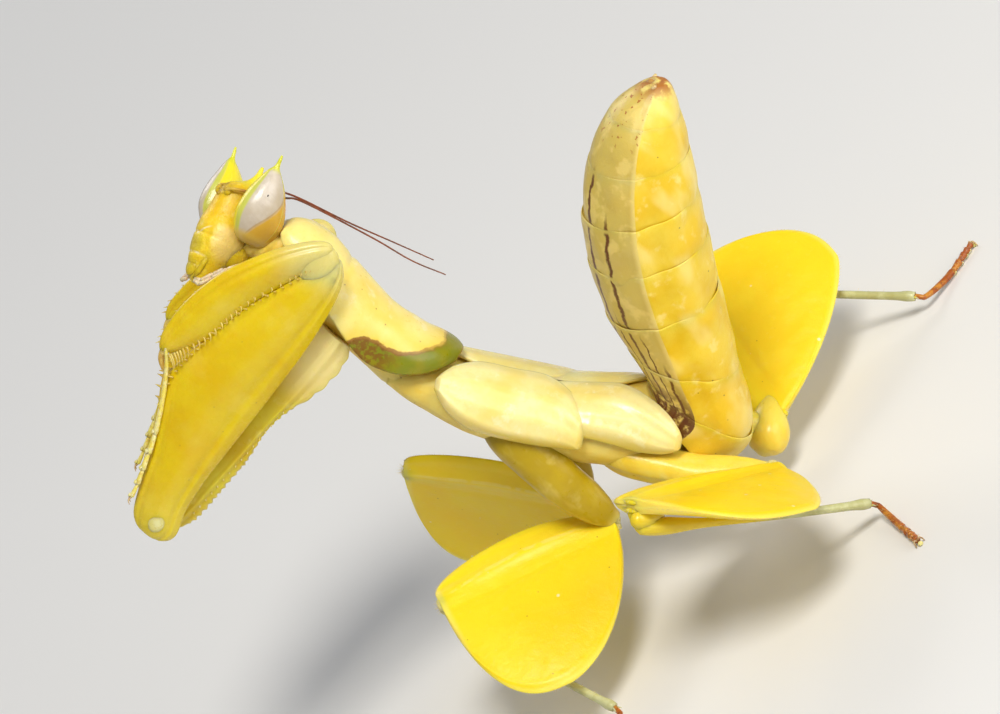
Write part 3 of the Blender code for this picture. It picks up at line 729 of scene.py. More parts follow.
HEAD, EYE = head_cuticle(), eye_surface()
# the pseudopupil is painted shade: a black spot that stands for the dark seen down the facets
PSEUDOPUPIL_SHADE = plain("pseudopupil_shade_black", ((0.012, 0.01, 0.008), (0.03, 0.02, 0.015)), 0.2, 0.0)
OCELLUS = plain("ocellus_brown", ((0.46, 0.27, 0.03), (0.5, 0.34, 0.05)), 0.2, 0.3)
MOUTH = plain("mouthpart_pink", ((0.72, 0.52, 0.32), (0.8, 0.66, 0.42), (0.55, 0.33, 0.18)), 0.3, 0.45)


def feeler_cuticle():
    """Yellow at the base, v goes along the feeler, then dark reddish brown."""
    paint = Paint("antenna_red_brown", 0.4, 0.1)
    paint.base((0.2, 0.045, 0.015))
    paint.over((0.1, 0.028, 0.012), paint.patches(0.4, 0.62, 2.5), 0.8)
    paint.over((0.36, 0.13, 0.02), paint.below(paint.v, 0.15, 0.4), 0.9)
    paint.over((0.62, 0.42, 0.05), paint.below(paint.v, 0.1, 0.24), 0.95)
    paint.relief(paint.noise(18.0), 0.006)
    return paint.done()


DARK = feeler_cuticle()
TAIL = plain("tail_plates", ((0.5, 0.24, 0.06), (0.8, 0.62, 0.3)), 0.35, 0.35)


def build_head():
    """Face, crown and horn in one shell; clypeus, lip, jaws, palps and ocelli joined to it."""
    rows = [
        (-3.45, 0.2, 0.3, -0.12), (-3.2, 0.42, 0.58, -0.32), (-2.6, 0.68, 0.86, -0.66),
        (-2.0, 0.98, 1.0, -1.0), (-1.4, 1.18, 1.06, -1.2),
        (-0.9, 1.2, 1.06, -1.28), (-0.3, 0.96, 1.0, -1.18), (0.3, 0.87, 0.97, -1.06),
        (0.8, 0.82, 0.85, -0.99), (1.1, 0.72, 0.62, -0.92),
        (1.3, 0.48, 0.25, -0.82), (1.5, 0.28, -0.05, -0.7), (1.8, 0.17, -0.24, -0.58),
        (2.1, 0.11, -0.3, -0.5), (2.26, 0.06, -0.34, -0.46),
    ]
    table = curve(rows, 130)
    up, half, front, back = columns(table)
    angle = around(96)[None]
    c, s = rounded(angle, 2.1)
    out = (front + back) / 2 + (front - back) / 2 * s
    side = half * c * 0.98
    face = np.clip(np.sin(angle), 0, 1)
    # shield between the antennae, clypeal fold, cheek groove
    out = out + 0.07 * face * bump(side, 0, 0.5) * bump(up, -0.75, 0.4)
    out = out - 0.06 * face * bump(up, -1.42, 0.06) - 0.05 * face * bump(up, -2.3, 0.06)
    out = out - 0.06 * face * bump(np.abs(side), 0.62, 0.08) * bump(up, -1.6, 0.7)
    grid = head(side, up + 0 * side, out)
    place = np.stack([side, up + 0 * side], -1)
    shape = Shape().grid(grid, place)
    for sign in (1, -1):
        # antennal socket, jaw and cheek
        shape.bead(head(0.42 * sign, 0.6, 0.8), (0.2, 0.2, 0.14), HEAD_AXES, 0)
        jaw = [head(x * sign, y, z) for x, y, z in ((0.55, -1.9, 0.36), (0.52, -2.4, 0.42),
            (0.4, -2.95, 0.42), (0.2, -3.3, 0.4))]
        shape.limb(jaw, [0.14, 0.2, 0.16, 0.06], 18, 0, 0.8)
        shape.bead(head(0.42 * sign, -1.5, -0.6), (0.62, 0.9, 0.75), HEAD_AXES, 0)
        # palps: the long outer one reaches down over the fore leg, the short one beside the lip
        long = [head(x * sign, y, z) for x, y, z in ((0.35, -3.4, 0.4), (0.85, -3.5, 0.35),
            (1.05, -3.05, 0.05), (1.3, -2.43, -0.3), (1.35, -2.0, -0.8))]
        short = [head(x * sign, y, z) for x, y, z in ((0.25, -3.3, 0.35), (0.7, -3.3, 0.3),
            (1.0, -2.85, 0.05), (1.2, -2.5, -0.2))]
        for path, thick in ((long, 0.085), (short, 0.075)):
            for a, b in zip(path, path[1:]):
                a, b = np.array(a), np.array(b)
                shape.limb([a, a + (b - a) * 0.12, a + (b - a) * 0.5, a + (b - a) * 0.9, b],
                    [thick * 0.7, thick, thick * 1.05, thick * 1.15, thick * 0.7], 12, 1)
        shape.bead(head(0.19 * sign, 0.66, 0.87), (0.085, 0.095, 0.08), HEAD_AXES, 2)
    shape.bead(head(0.0, 0.4, 0.96), (0.09, 0.09, 0.08), HEAD_AXES, 2)
    # upper lip with its rim, and the shield above it
    shape.bead(head(0.0, -2.78, 0.56), (0.4, 0.52, 0.24), HEAD_AXES, 0)
    shape.bead(head(0.0, -1.85, 0.8), (0.52, 0.42, 0.2), HEAD_AXES, 0)
    shape.make("face_and_horn", [HEAD, MOUTH, OCELLUS], ["head"])


def build_eyes():
    """Tall cones of facets that end in a small horn."""
    rows = [
        (-1.12, 1.44, -0.55, 0.2, 0.4), (-1.04, 1.48, -0.55, 0.34, 0.62), (-0.8, 1.57, -0.52, 0.5, 0.88),
        (-0.2, 1.72, -0.44, 0.7, 1.13),
        (0.4, 1.8, -0.36, 0.8, 1.09), (1.0, 1.85, -0.27, 0.73, 0.9), (1.6, 1.93, -0.15, 0.5, 0.6),
        (2.0, 2.0, -0.02, 0.27, 0.34),
        (2.2, 2.05, 0.03, 0.15, 0.17), (2.35, 2.08, 0.05, 0.1, 0.1), (2.6, 2.12, 0.08, 0.075, 0.075),
        (2.78, 2.15, 0.1, 0.05, 0.05),
    ]
    table = curve(rows, 130)
    up, mid, out, half, deep = columns(table)
    angle = around(96)[None]
    for side, sign in (("left", 1), ("right", -1)):
        c, s = rounded(angle, 1.9)
        edge = 1 + 0.03 * bump(angle, 1.95, 0.2) * np.clip((up + 0.8) / 2, 0, 1)
        grid = head(sign * (mid + half * c * edge), up + 0 * angle, out + deep * s * edge)
        # u turns from the outer side over the front; 0.1 is added so that the seam is hidden behind
        turn = (np.arange(97) / 96)[None] + 0 * up
        place = np.stack([np.where(turn > 0.9, turn - 0.9, turn + 0.1), np.broadcast_to((up + 1.12) / 3.9,
            turn.shape)], -1)
        place[..., 0] -= 0.13 * (sign < 0)
        if sign < 0:
            grid = grid[:, ::-1]
            place = place[:, ::-1]
            grid = np.roll(grid, 1, axis=1)
        shape = Shape().grid(grid, place)
        # painted shade: a small black spot on each eye, at a fixed place, standing in for the pseudopupil
        spot = head(sign * (1.845 + 0.735 * math.cos(0.4)), 0.95, -0.275 + 0.92 * math.sin(0.4))
        outward = unit(spot - head(sign * 1.845, 0.95, -0.275))
        shape.bead(spot - outward * 0.015, (0.032, 0.055, 0.03), (np.cross(HEAD_UP, outward), HEAD_UP,
            outward), 1)
        shape.make(f"eye_shell_{side}", [EYE, PSEUDOPUPIL_SHADE], [f"eye_{side}"], "eye_pearl")


FEELER_ROUTES = {
    "left": ((0.75, 0.74, 0.8), (1.02, 0.88, 0.3), (0.95, 1.02, -0.3), (0.95, 1.25, -0.9), (1.4, 1.4, -1.3),
    (2.88, 1.4, -1.4)),
    "right": ((-0.7, 0.85, 0.7), (-0.88, 1.1, 0.1), (-0.85, 1.3, -0.5), (-0.4, 1.6, -1.2), (0.4, 1.8, -2.17),
    (1.4, 1.8, -4.47)),
}


def build_antennae():
    """A stout base joint, a small second one and a long thread of rings that lies along the solid's line."""
    for side, sign in (("left", 1), ("right", -1)):
        points = corners(f"antenna_{side}")
        order = [head(0.42 * sign, 0.62, 0.85)]
        left = points.copy()
        while len(left):
            away = np.linalg.norm(left - order[-1], axis=1)
            near = left[np.argsort(away)[:6]].mean(0)
            left = left[np.linalg.norm(left - near, axis=1) > 0.36]
            order.append(near)
        # it leaves its socket between crown and eye, and reaches the solid's line behind the eye
        behind = FEELER_ROUTES[side]
        path = curve(order[:1] + [head(*spot) for spot in behind] + order[7:], 150)
        t = np.linspace(0, 1, len(path))
        rings = 1 + 0.16 * np.abs(np.sin(t * math.pi * 62))
        radii = (0.068 - 0.045 * t) * rings
        radii[:9] = [0.11, 0.13, 0.13, 0.12, 0.09, 0.1, 0.1, 0.09, 0.08]
        Shape().limb(path, radii, 12).make(f"antenna_thread_{side}", [DARK], [f"antenna_{side}"],
            "antenna_brown")


# ---- raptorial forelegs ----------------------------------------------------------------------------
def foreleg_cuticle():
    """Femur and tibia: u and v are millimetres along the femur and towards its front edge."""
    paint = cuticle("foreleg_cuticle", (0.7, 0.52, 0.004), (0.66, 0.43, 0.0), (0.8, 0.66, 0.08), 0.26, 0.45,
        0.006, 0.3, 0.12, coat=0.3)
    knee = paint.between(paint.u, 12.0, 13.7)
    paint.over((0.66, 0.6, 0.24), knee, 0.75)
    hip = paint.below(paint.u, -0.2, 2.6)
    paint.over((0.7, 0.58, 0.06), hip, 0.5)
    paint.over((0.82, 0.66, 0.1), paint.patches(0.55, 0.75, 0.6, 2), 0.25)
    return paint.done()


def coxa_cuticle():
    """The fore coxa: pale and translucent near its base, u goes from base to tip."""
    paint = cuticle("fore_coxa_cuticle", (0.66, 0.54, 0.03), (0.6, 0.4, 0.005), (0.8, 0.7, 0.2), 0.3, 0.5,
        0.008, 0.4, coat=0.15)
    paint.over((0.86, 0.73, 0.3), paint.below(paint.u, 0.12, 0.36), 0.9)
    paint.over((0.82, 0.72, 0.2), paint.between(paint.v, 0.7, 1.0), 0.35)
    return paint.done()


FOREARM, COXA = foreleg_cuticle(), coxa_cuticle()
BUTTON = plain("joint_pale", ((0.78, 0.64, 0.2), (0.84, 0.74, 0.36), (0.62, 0.46, 0.1)), 0.28, 0.45)
TEETH = plain("tooth_brown", ((0.72, 0.52, 0.12), (0.55, 0.32, 0.06), (0.8, 0.64, 0.22)), 0.25, 0.4)
CLAW = plain("claw_tip", ((0.55, 0.4, 0.22), (0.3, 0.12, 0.04)), 0.2, 0.3)
FORE_FOOT = plain("fore_tarsus", ((0.82, 0.66, 0.12), (0.85, 0.74, 0.35), (0.6, 0.38, 0.06)), 0.25, 0.45)

# The trochanter's end face, along and in front of the femur's line.
FEMUR_END, FEMUR_END_HIGH = -0.75, 0.55
FEMUR_ROWS = [   # along, front edge, rear edge, half thickness
    (-0.92, 0.35, -0.05, 0.14), (-0.82, 0.85, -0.4, 0.32), (-0.55, 1.2, -0.66, 0.44),
    (-0.1, 1.46, -0.72, 0.5),
    (1.0, 1.8, -0.5, 0.55), (2.6, 2.2, -0.5, 0.58), (4.2, 2.9, -0.62, 0.6), (5.9, 3.3, -0.76, 0.62),
    (7.8, 3.0, -0.9, 0.62), (9.6, 2.5, -1.02, 0.6), (11.3, 1.75, -1.02, 0.55), (12.6, 1.05, -0.92, 0.5),
    (13.4, 0.55, -0.72, 0.42), (13.85, 0.2, -0.45, 0.3), (14.05, -0.05, -0.25, 0.12),
]
SHUT_TIBIA = [   # along, in front, half width, half thickness
    (14.35, 0.35, 0.1, 0.1), (14.25, 0.5, 0.3, 0.26), (14.0, 0.75, 0.44, 0.36), (13.5, 1.2, 0.54, 0.42),
    (12.6, 1.88, 0.64, 0.44),
    (11.05, 2.8, 0.73, 0.44), (9.8, 3.3, 0.78, 0.42), (8.55, 3.62, 0.76, 0.38), (7.5, 3.9, 0.56, 0.32),
    (6.9, 4.0, 0.34, 0.26),
    (6.6, 4.02, 0.12, 0.12),
]


def foreleg_frame(side, sign):
    """The femur's own axes: along it, towards its front edge and outwards."""
    name = f"foreleg_femur_{side}"
    end, normal, points = end_face(name, prothorax(5.3, sign * 2.3, -11.2), 12)
    along = -normal
    far = max(((a, b) for a in points for b in points), key=lambda pair: np.linalg.norm(pair[0] - pair[1]))
    front = unit(far[0] - far[1])
    front = front if front @ PRO_FORWARD > 0 else -front
    out = np.cross(along, front)
    out = out if out @ (PRO_LEFT * sign) > 0 else -out
    return axes(end - along * FEMUR_END - front * FEMUR_END_HIGH, along, front, out), along, front, out


def drawn_in(table, share):
    """The far leg's end is drawn in and lowered, so that the shield hides its knee from the camera."""
    table = table.copy()
    beyond = np.clip(table[:, 0] - 6.6, 0, None)
    table[:, 0] -= beyond * (1 - share)
    table[:, 1] -= beyond * 0.5 * (1 - share)
    return table


def flat_limb(table, power, count):
    """A grid of lens-like sections: along, front edge, rear edge, half thickness."""
    c, s = rounded(around(count)[None], power)
    u, high, low, half = columns(table)
    return u + 0 * c, (high + low) / 2 + (high - low) / 2 * c, half * s


def build_foreleg(side, sign):
    at, along, front, out = foreleg_frame(side, sign)
    turn = slice(None, None, int(np.sign(np.dot(np.cross(along, front), out))))

    # femur: a swollen blade with a furrow inside each margin and the shallow groove that takes the tibia
    table = curve(FEMUR_ROWS, 200)
    if sign < 0:
        table = drawn_in(table, 0.95)
    u, v, n = flat_limb(table, 1.75, 96)
    high, low = table[:, 1:2], table[:, 2:3]
    q = (v - low) / (high - low)
    swell = (
        1 + 0.1 * bump(q, 0.45, 0.22) - 0.16 * bump(q, 0.2, 0.04) + 0.12 * bump(q, 0.12, 0.035)
        - 0.16 * bump(q, 0.86, 0.05)
    )
    n = n * swell
    groove = bump(q, 1, 0.06) * np.clip((u - 5.5) / 2, 0, 1) * np.clip((13.2 - u) / 1.0, 0, 1)
    v = v - 0.12 * groove
    grid = at(u, v, n)
    grid = grid + out * (0.02 * lumps(grid, 0.7, 3.0) * np.sign(n))[..., None]
    shape = Shape().grid(grid[:, turn], np.stack([u, v], -1)[:, turn])
    # two rows of teeth on its front edge, long ones between short ones, and the four long inner spines
    for row, lean in ((0.3, 0.12), (-0.3, -0.12)):
        for k in range(26):
            place = 4.6 + 0.33 * k
            edge = float(np.interp(place, table[:, 0], table[:, 1])) - 0.22
            size = (0.3 if k % 4 == 0 else 0.16) * (1 - 0.3 * k / 26) * random.uniform(0.7, 1.15)
            foot = at(place, edge, row)
            shape.spine(foot, at(place - 0.12 * size, edge + size, row * 1.2 + lean), 0.04 + 0.05 * size,
                kind=1)
    for k, size in enumerate((0.35, 0.5, 0.6, 0.4)):
        place = 4.7 + 0.45 * k
        edge = float(np.interp(place, table[:, 0], table[:, 1])) - 0.1
        shape.spine(at(place, edge, -0.1), at(place - 0.1, edge + size * 0.8, -0.22), 0.09, kind=1)
    # the lobes of the knee
    for row in (0.3, -0.3):
        shape.bead(at(table[-1, 0] - 0.85, -0.15, row), (0.3, 0.3, 0.12), (along, front, out), 0,
            place=(13.8, 0.0))
    shape.bead(at(-0.1, 0.3, 0.5), (0.4, 0.34, 0.12), (along, front, out), 2)
    shape.bead(at(table[-1, 0] - 0.62, 0.52, 0.1), (0.98, 0.9, 0.43), (along, front, out), 0, 20, 28,
        (13.8, 0.5))
    shape.make(f"fore_femur_{side}", [FOREARM, TEETH, BUTTON], [f"foreleg_femur_{side}"])

    # tibia: shut against the femur, its comb of close teeth towards it and a hooked claw at its end
    table = curve(SHUT_TIBIA, 130)
    if sign < 0:
        table = drawn_in(table, 0.86)
    path = at(table[:, 0], table[:, 1], 0.14)
    heading = np.gradient(path, axis=0)
    heading /= np.linalg.norm(heading, axis=1, keepdims=True)
    across = np.cross(heading, out)
    across = across if across[60] @ front > 0 else -across
    angle = around(56)[None]
    c, s = rounded(angle, 1.9)
    edge = 1 + 0.05 * bump(np.abs(c), 1, 0.2)
    inward = 1 + 0.3 * np.clip(-c, 0, 1) * np.sin(math.pi * np.linspace(0, 1, 130))[:, None] ** 0.5
    furrow = 1 - 0.22 * bump(c, 0.55, 0.12)
    grid = path[:, None] + across[:, None] * (table[:, 2:3] * c * edge * inward)[..., None]
    grid = grid + out * (table[:, 3:4] * s * furrow)[..., None]
    place = np.stack([table[:, :1] + 0 * c, table[:, 1:2] + 0 * c], -1)
    flip = slice(None, None, int(np.sign(np.dot(np.cross(heading[60], across[60]), out))))
    shape = Shape().grid(grid[:, flip], place[:, flip])
    for row in (0.3, -0.3):
        for k in range(5, 32):
            i = int(22 + 3.2 * k)
            t = k / 31
            root = path[i] - across[i] * (table[i, 2] * 1.05) + out * row
            size = 0.1 + 0.42 * t**2.5
            tip = root - across[i] * size + heading[i] * size * (0.4 + 0.3 * t) + out * row * (0.3 + 0.5 * t)
            shape.spine(root, tip, 0.03 + 0.03 * t, heading[i] * -0.05, 1)
    for k in range(7):
        i = int(80 + 6 * k)
        root = path[i] + across[i] * table[i, 2] * 0.95
        shape.spine(root, root + across[i] * 0.12 + heading[i] * 0.2, 0.04, kind=1)
    tip = path[-1]
    hook = [tip - heading[-1] * 0.3, tip + heading[-1] * 0.25 - across[-1] * 0.12, tip + heading[-1] * 0.62
        - across[-1] * 0.5, tip + heading[-1] * 0.75 - across[-1] * 0.95]
    shape.limb(curve(hook, 20), np.linspace(0.2, 0.03, 20), 14, 1)
    shape.make(f"fore_tibia_{side}", [FOREARM, TEETH], [f"foreleg_tibia_{side}"])

    # tarsus: five joints, the first as long as the rest, with two claws
    bends = curve([(6.9, 4.0), (6.2, 3.55), (5.0, 3.0), (3.3, 2.4), (2.1, 2.13), (0.95, 1.88), (0.3, 1.8)],
        101)
    line = at(bends[:, 0], bends[:, 1], 0.34)
    shape = Shape()
    for first, last, thick in ((0, 50, 0.14), (50, 62, 0.16), (62, 73, 0.16), (73, 83, 0.15), (83, 99, 0.13)):
        part = line[first:last + 1]
        t = np.linspace(0, 1, len(part))
        shape.limb(part, thick * (0.62 + 0.38 * t**0.7) * np.clip((1.03 - t) / 0.06, 0.45, 1) ** 0.5, 16, 0,
            0.8)
        pad = part[-1] - (part[-1] - part[-3]) * 0.5
        shape.bead(pad + front * 0.1, (thick * 0.8, thick * 0.55, thick), (along, front, out), 1, 8, 12)
    for row in (1, -1):
        root = line[-2]
        claw = [root, root - along * 0.16 + out * 0.12 * row + front * 0.04, root - along * 0.3
            + out * 0.17 * row - front * 0.1]
        shape.limb(curve(claw, 10), np.linspace(0.055, 0.015, 10), 8, 2)
    shape.make(f"fore_tarsus_{side}", [FORE_FOOT, BUTTON, CLAW], [f"foreleg_tarsus_{side}"], "shank_pale")

    build_fore_coxa(side, sign)


def build_fore_coxa(side, sign):
    """A long three-edged blade: scalloped pale lobe near its base, then small teeth down its rear edge."""
    base, tip = prothorax(4.4, sign * 1.3, -0.45), prothorax(5.1, sign * 1.5, -11.45)
    along = unit(tip - base)
    length = np.linalg.norm(tip - base)
    rear = unit(-PRO_FORWARD + (PRO_FORWARD @ along) * along)
    thick = np.cross(along, rear)
    rows = [(0.0, 0.8, 0.5), (0.05, 0.98, 0.56), (0.12, 1.08, 0.56), (0.35, 1.02, 0.52), (0.7, 0.92, 0.5),
        (0.9, 0.8, 0.48), (0.97, 0.6, 0.4), (1.0, 0.4, 0.26)]
    table = curve(rows, 220)
    t, half, deep = columns(table)
    angle = around(72)[None]
    c, s = rounded(angle, 1.75)
    behind = np.clip(c, 0, 1) ** 2
    scallops = (
        0.09 * np.abs(np.sin(t * math.pi * 13)) * np.clip((0.34 - t) / 0.05, 0, 1) * np.clip(t / 0.04, 0, 1)
    )
    teeth = (
        0.1 * np.maximum(0, 1 - np.abs((t * 34 + 0.15 * np.sin(t * 40)) % 1 - 0.35) / 0.35) * np.clip((t
        - 0.3) / 0.05, 0, 1) * np.clip((0.97 - t) / 0.05, 0, 1)
    )
    waist = (
        (0.22 * np.clip((t - 0.2) / 0.3, 0, 1) + 0.4 * bump(t, 0.42, 0.14)) * np.clip((1.02 - t) / 0.3, 0, 1)
    )
    width = half * c + behind * (scallops + teeth - waist)
    ridge = 1 + 0.14 * bump(c, 0.3, 0.1) - 0.18 * bump(c, 0.6, 0.12)
    thin = 1 - 0.55 * np.clip((0.3 - t) / 0.1, 0, 1) * np.clip(c, 0, 1)
    grid = (
        base + along * (t * length + 0 * c)[..., None] + rear * (0.1 + width)[..., None]
        + thick * (deep * s * ridge * thin)[..., None]
    )
    place = np.stack([t + 0 * c, np.clip(c, 0, 1) + 0 * t], -1)
    shape = Shape().grid(grid, place)
    # fine teeth over the outer face, in a line
    for k in range(16):
        spot = base + along * length * (0.36 + 0.036 * k) + rear * 0.52
        outward = thick * np.sign(thick @ PRO_LEFT) * sign
        shape.spine(spot + outward * 0.34, spot + outward * 0.5 + rear * 0.05, 0.045, kind=1)
    shape.make(f"fore_coxa_blade_{side}", [COXA, BUTTON], [f"foreleg_coxa_{side}"])


# ---- walking legs ----------------------------------------------------------------------------------
def petal_cuticle(pair):
    """The petals: satin lemon to golden yellow, with painted shade on the hind pair's lower facet; u is 0 at
    the hip, v runs from the crest to the rim.
    """
    paint = Paint(f"{pair}_petal_cuticle", 0.36, 0.5, 0.55, (1.0, 0.66, 0.1), coat=0.08)
    paint.base((0.9, 0.68, 0.01))
    paint.over((0.88, 0.58, 0.0), paint.patches(0.4, 0.7, 0.22, 1), 0.5)
    paint.over((0.92, 0.74, 0.03), paint.patches(0.5, 0.75, 0.4, 2), 0.4)
    paint.over((0.87, 0.6, 0.0), paint.between(paint.v, 0.5, 1.0) * paint.patches(0.4, 0.7, 0.4, 1), 0.3)
    # painted shade: the hind petals turn a little orange on the lower facet below the crease
    if pair == "hind":
        paint.over((0.8, 0.46, 0.0), paint.between(paint.v, 0.27, 0.38), 0.2)
    # a pale line along the rod: partly the rod's own paler tone, partly painted highlight on its ridge
    bow = paint.u * (1 - paint.u) * 0.25
    rod = paint.v + bow + (paint.noise(0.8, 3) - 0.5) * 0.03
    along = paint.between(paint.u, 0.08, 0.3) * paint.below(paint.u, 0.86, 0.98)
    pale = paint.line(rod, 0.245, 0.022) * along
    pale = pale * paint.patches(0.36, 0.56, 1.7, 3)
    paint.over((0.93, 0.76, 0.2), pale, 0.5)
    paint.over((0.9, 0.7, 0.1), paint.patches(0.58, 0.72, 3.5, 4), 0.15)
    paint.over((0.92, 0.8, 0.2), paint.between(paint.v, 0.965, 0.99), 0.35)
    knee = paint.between(paint.u, 0.955, 0.985)
    paint.over((0.88, 0.74, 0.2), knee, 0.45)
    specks = paint.below(paint.cells(1.3), 0.035, 0.055)
    paint.over((0.25, 0.12, 0.01), specks, 0.55)
    flecks = paint.below(paint.cells(0.75), 0.04, 0.07)
    paint.over((0.95, 0.88, 0.6), flecks, 0.6)
    paint.relief(paint.noise(16.0), 0.008)
    paint.relief(paint.noise(1.6, 3), 0.04)
    paint.rough(paint.noise(2.0), 0.3, 0.48)
    return paint.done()


def hip_cuticle(pair):
    """Coxae: golden olive in the mid pair, pale yellow in the hind pair; v goes from base to tip."""
    hues = {"mid": ((0.5, 0.35, 0.006), (0.42, 0.29, 0.006)), "hind": ((0.86, 0.66, 0.08),
        (0.82, 0.54, 0.02))}[pair]
    paint = cuticle(f"{pair}_coxa_cuticle", *hues, (0.8, 0.66, 0.2), 0.3, 0.5, 0.008, 0.35, 0.3, coat=0.2)
    streaks = paint.patches(0.5, 0.66, 1.2, 3, 0.5, (1, 1, 0.35))
    paint.over((0.78, 0.64, 0.18), streaks, 0.3)
    paint.over((0.8, 0.66, 0.2), paint.between(paint.v, 0.84, 1.0), 0.6)
    return paint.done()


def shank_cuticle(name, first):
    """Tibiae: pale and glassy, yellow near the knee; v goes from knee to ankle."""
    paint = Paint(name, 0.25, 0.5, 0.4, (0.9, 0.8, 0.5), coat=0.3)
    paint.base((0.46, 0.45, 0.2))
    paint.over((0.56, 0.56, 0.3), paint.patches(0.42, 0.6, 1.8, 3), 0.8)
    paint.over((0.36, 0.32, 0.1), paint.patches(0.5, 0.66, 1.1, 4, 0.6, (1, 1, 0.4)), 0.5)
    paint.over((0.78, 0.57, 0.01), paint.below(paint.v, first - 0.1, first + 0.08), 0.95)
    paint.relief(paint.noise(12.0), 0.01)
    return paint.done()


def foot_cuticle():
    paint = Paint("tarsus_cuticle", 0.3, 0.35, 0.3, (1.0, 0.5, 0.2), coat=0.2)
    paint.base((0.36, 0.09, 0.012))
    paint.over((0.6, 0.26, 0.03), paint.patches(0.45, 0.62, 2.2, 3), 0.8)
    paint.over((0.2, 0.045, 0.012), paint.patches(0.54, 0.66, 4.0, 4), 0.7)
    paint.relief(paint.noise(14.0), 0.012)
    return paint.done()


PETALS = {pair: petal_cuticle(pair) for pair in ("mid", "hind")}
HIPS = {pair: hip_cuticle(pair) for pair in ("mid", "hind")}
FOOT = foot_cuticle()
SHANKS = {"mid": shank_cuticle("mid_shank", 0.2), "hind": shank_cuticle("hind_shank", 0.6)}
HAIR = plain("hair_pale", ((0.85, 0.72, 0.35), (0.6, 0.42, 0.15)), 0.35, 0.3)

# the petal's outline, in femur lengths
PETAL_DEPTH, PETAL_FULL = {"mid": 0.785, "hind": 0.69}, {"mid": 1.65, "hind": 1.35}
PETAL_WIDEST, PETAL_CREST = {"mid": 0.58, "hind": 0.6}, 0.155
HIP_AT, KNEE_AT = 0.5 - 0.5 * math.cos(math.pi * 0.045), 0.5 - 0.5 * math.cos(math.pi * 0.975)


# Where the near hind petal is widest and how deep it is: shallower than its solid and than the far one.
NEAR_HIND_PETAL = (0.52, 0.645)


def crest_height(t):
    return 0.05 + PETAL_CREST * np.sin(math.pi * np.clip(t, 0, 1)) ** np.where(np.asarray(t) > 0.5, 0.42, 0.8)


def petal_depth(pair, t, side="left"):
    full, widest, deep = PETAL_FULL[pair], PETAL_WIDEST[pair], PETAL_DEPTH[pair]
    if (pair, side) == ("hind", "left"):
        widest, deep = NEAR_HIND_PETAL
    before = np.clip((widest - t) / widest, 0, 1)
    after = np.clip((t - widest) / (1 - widest), 0, 1)
    lobe = np.where(t < widest, (1 - before**full) ** (1 / full), (1 - after**2.6) ** (1 / 2.6))
    return deep * np.maximum(lobe, 0.075 / deep)


def petal_frame(pair, side, sign):
    """Hip, length and axes of a femur: along it, down its petal and out of its face."""
    name = f"{pair}_femur_{side}"
    coxa = middle(f"{pair}_coxa_{side}")
    hip_face = end_face(name, coxa, 12)
    knee_face = max(flats(name, 12), key=lambda face: np.linalg.norm(face[0] - coxa))
    along = knee_face[1]
    points = corners(name)
    away = points - hip_face[0]
    away = away - (away @ along)[:, None] * along
    deep = points[np.argsort(np.linalg.norm(away, axis=1))[-2:]].mean(0)
    down = deep - hip_face[0]
    down = unit(down - (down @ along) * along)
    tops = [face[2][np.argsort(face[2] @ down)[:2]].mean(0) for face in (hip_face, knee_face)]
    out = unit(np.cross(along, deep - tops[0])) * sign
    down = np.cross(out, along) * sign
    length = (tops[1] - tops[0]) @ along / (KNEE_AT - HIP_AT)
    hip = tops[0] + down * crest_height(HIP_AT) * length - along * HIP_AT * length
    return hip, length, along, down, out


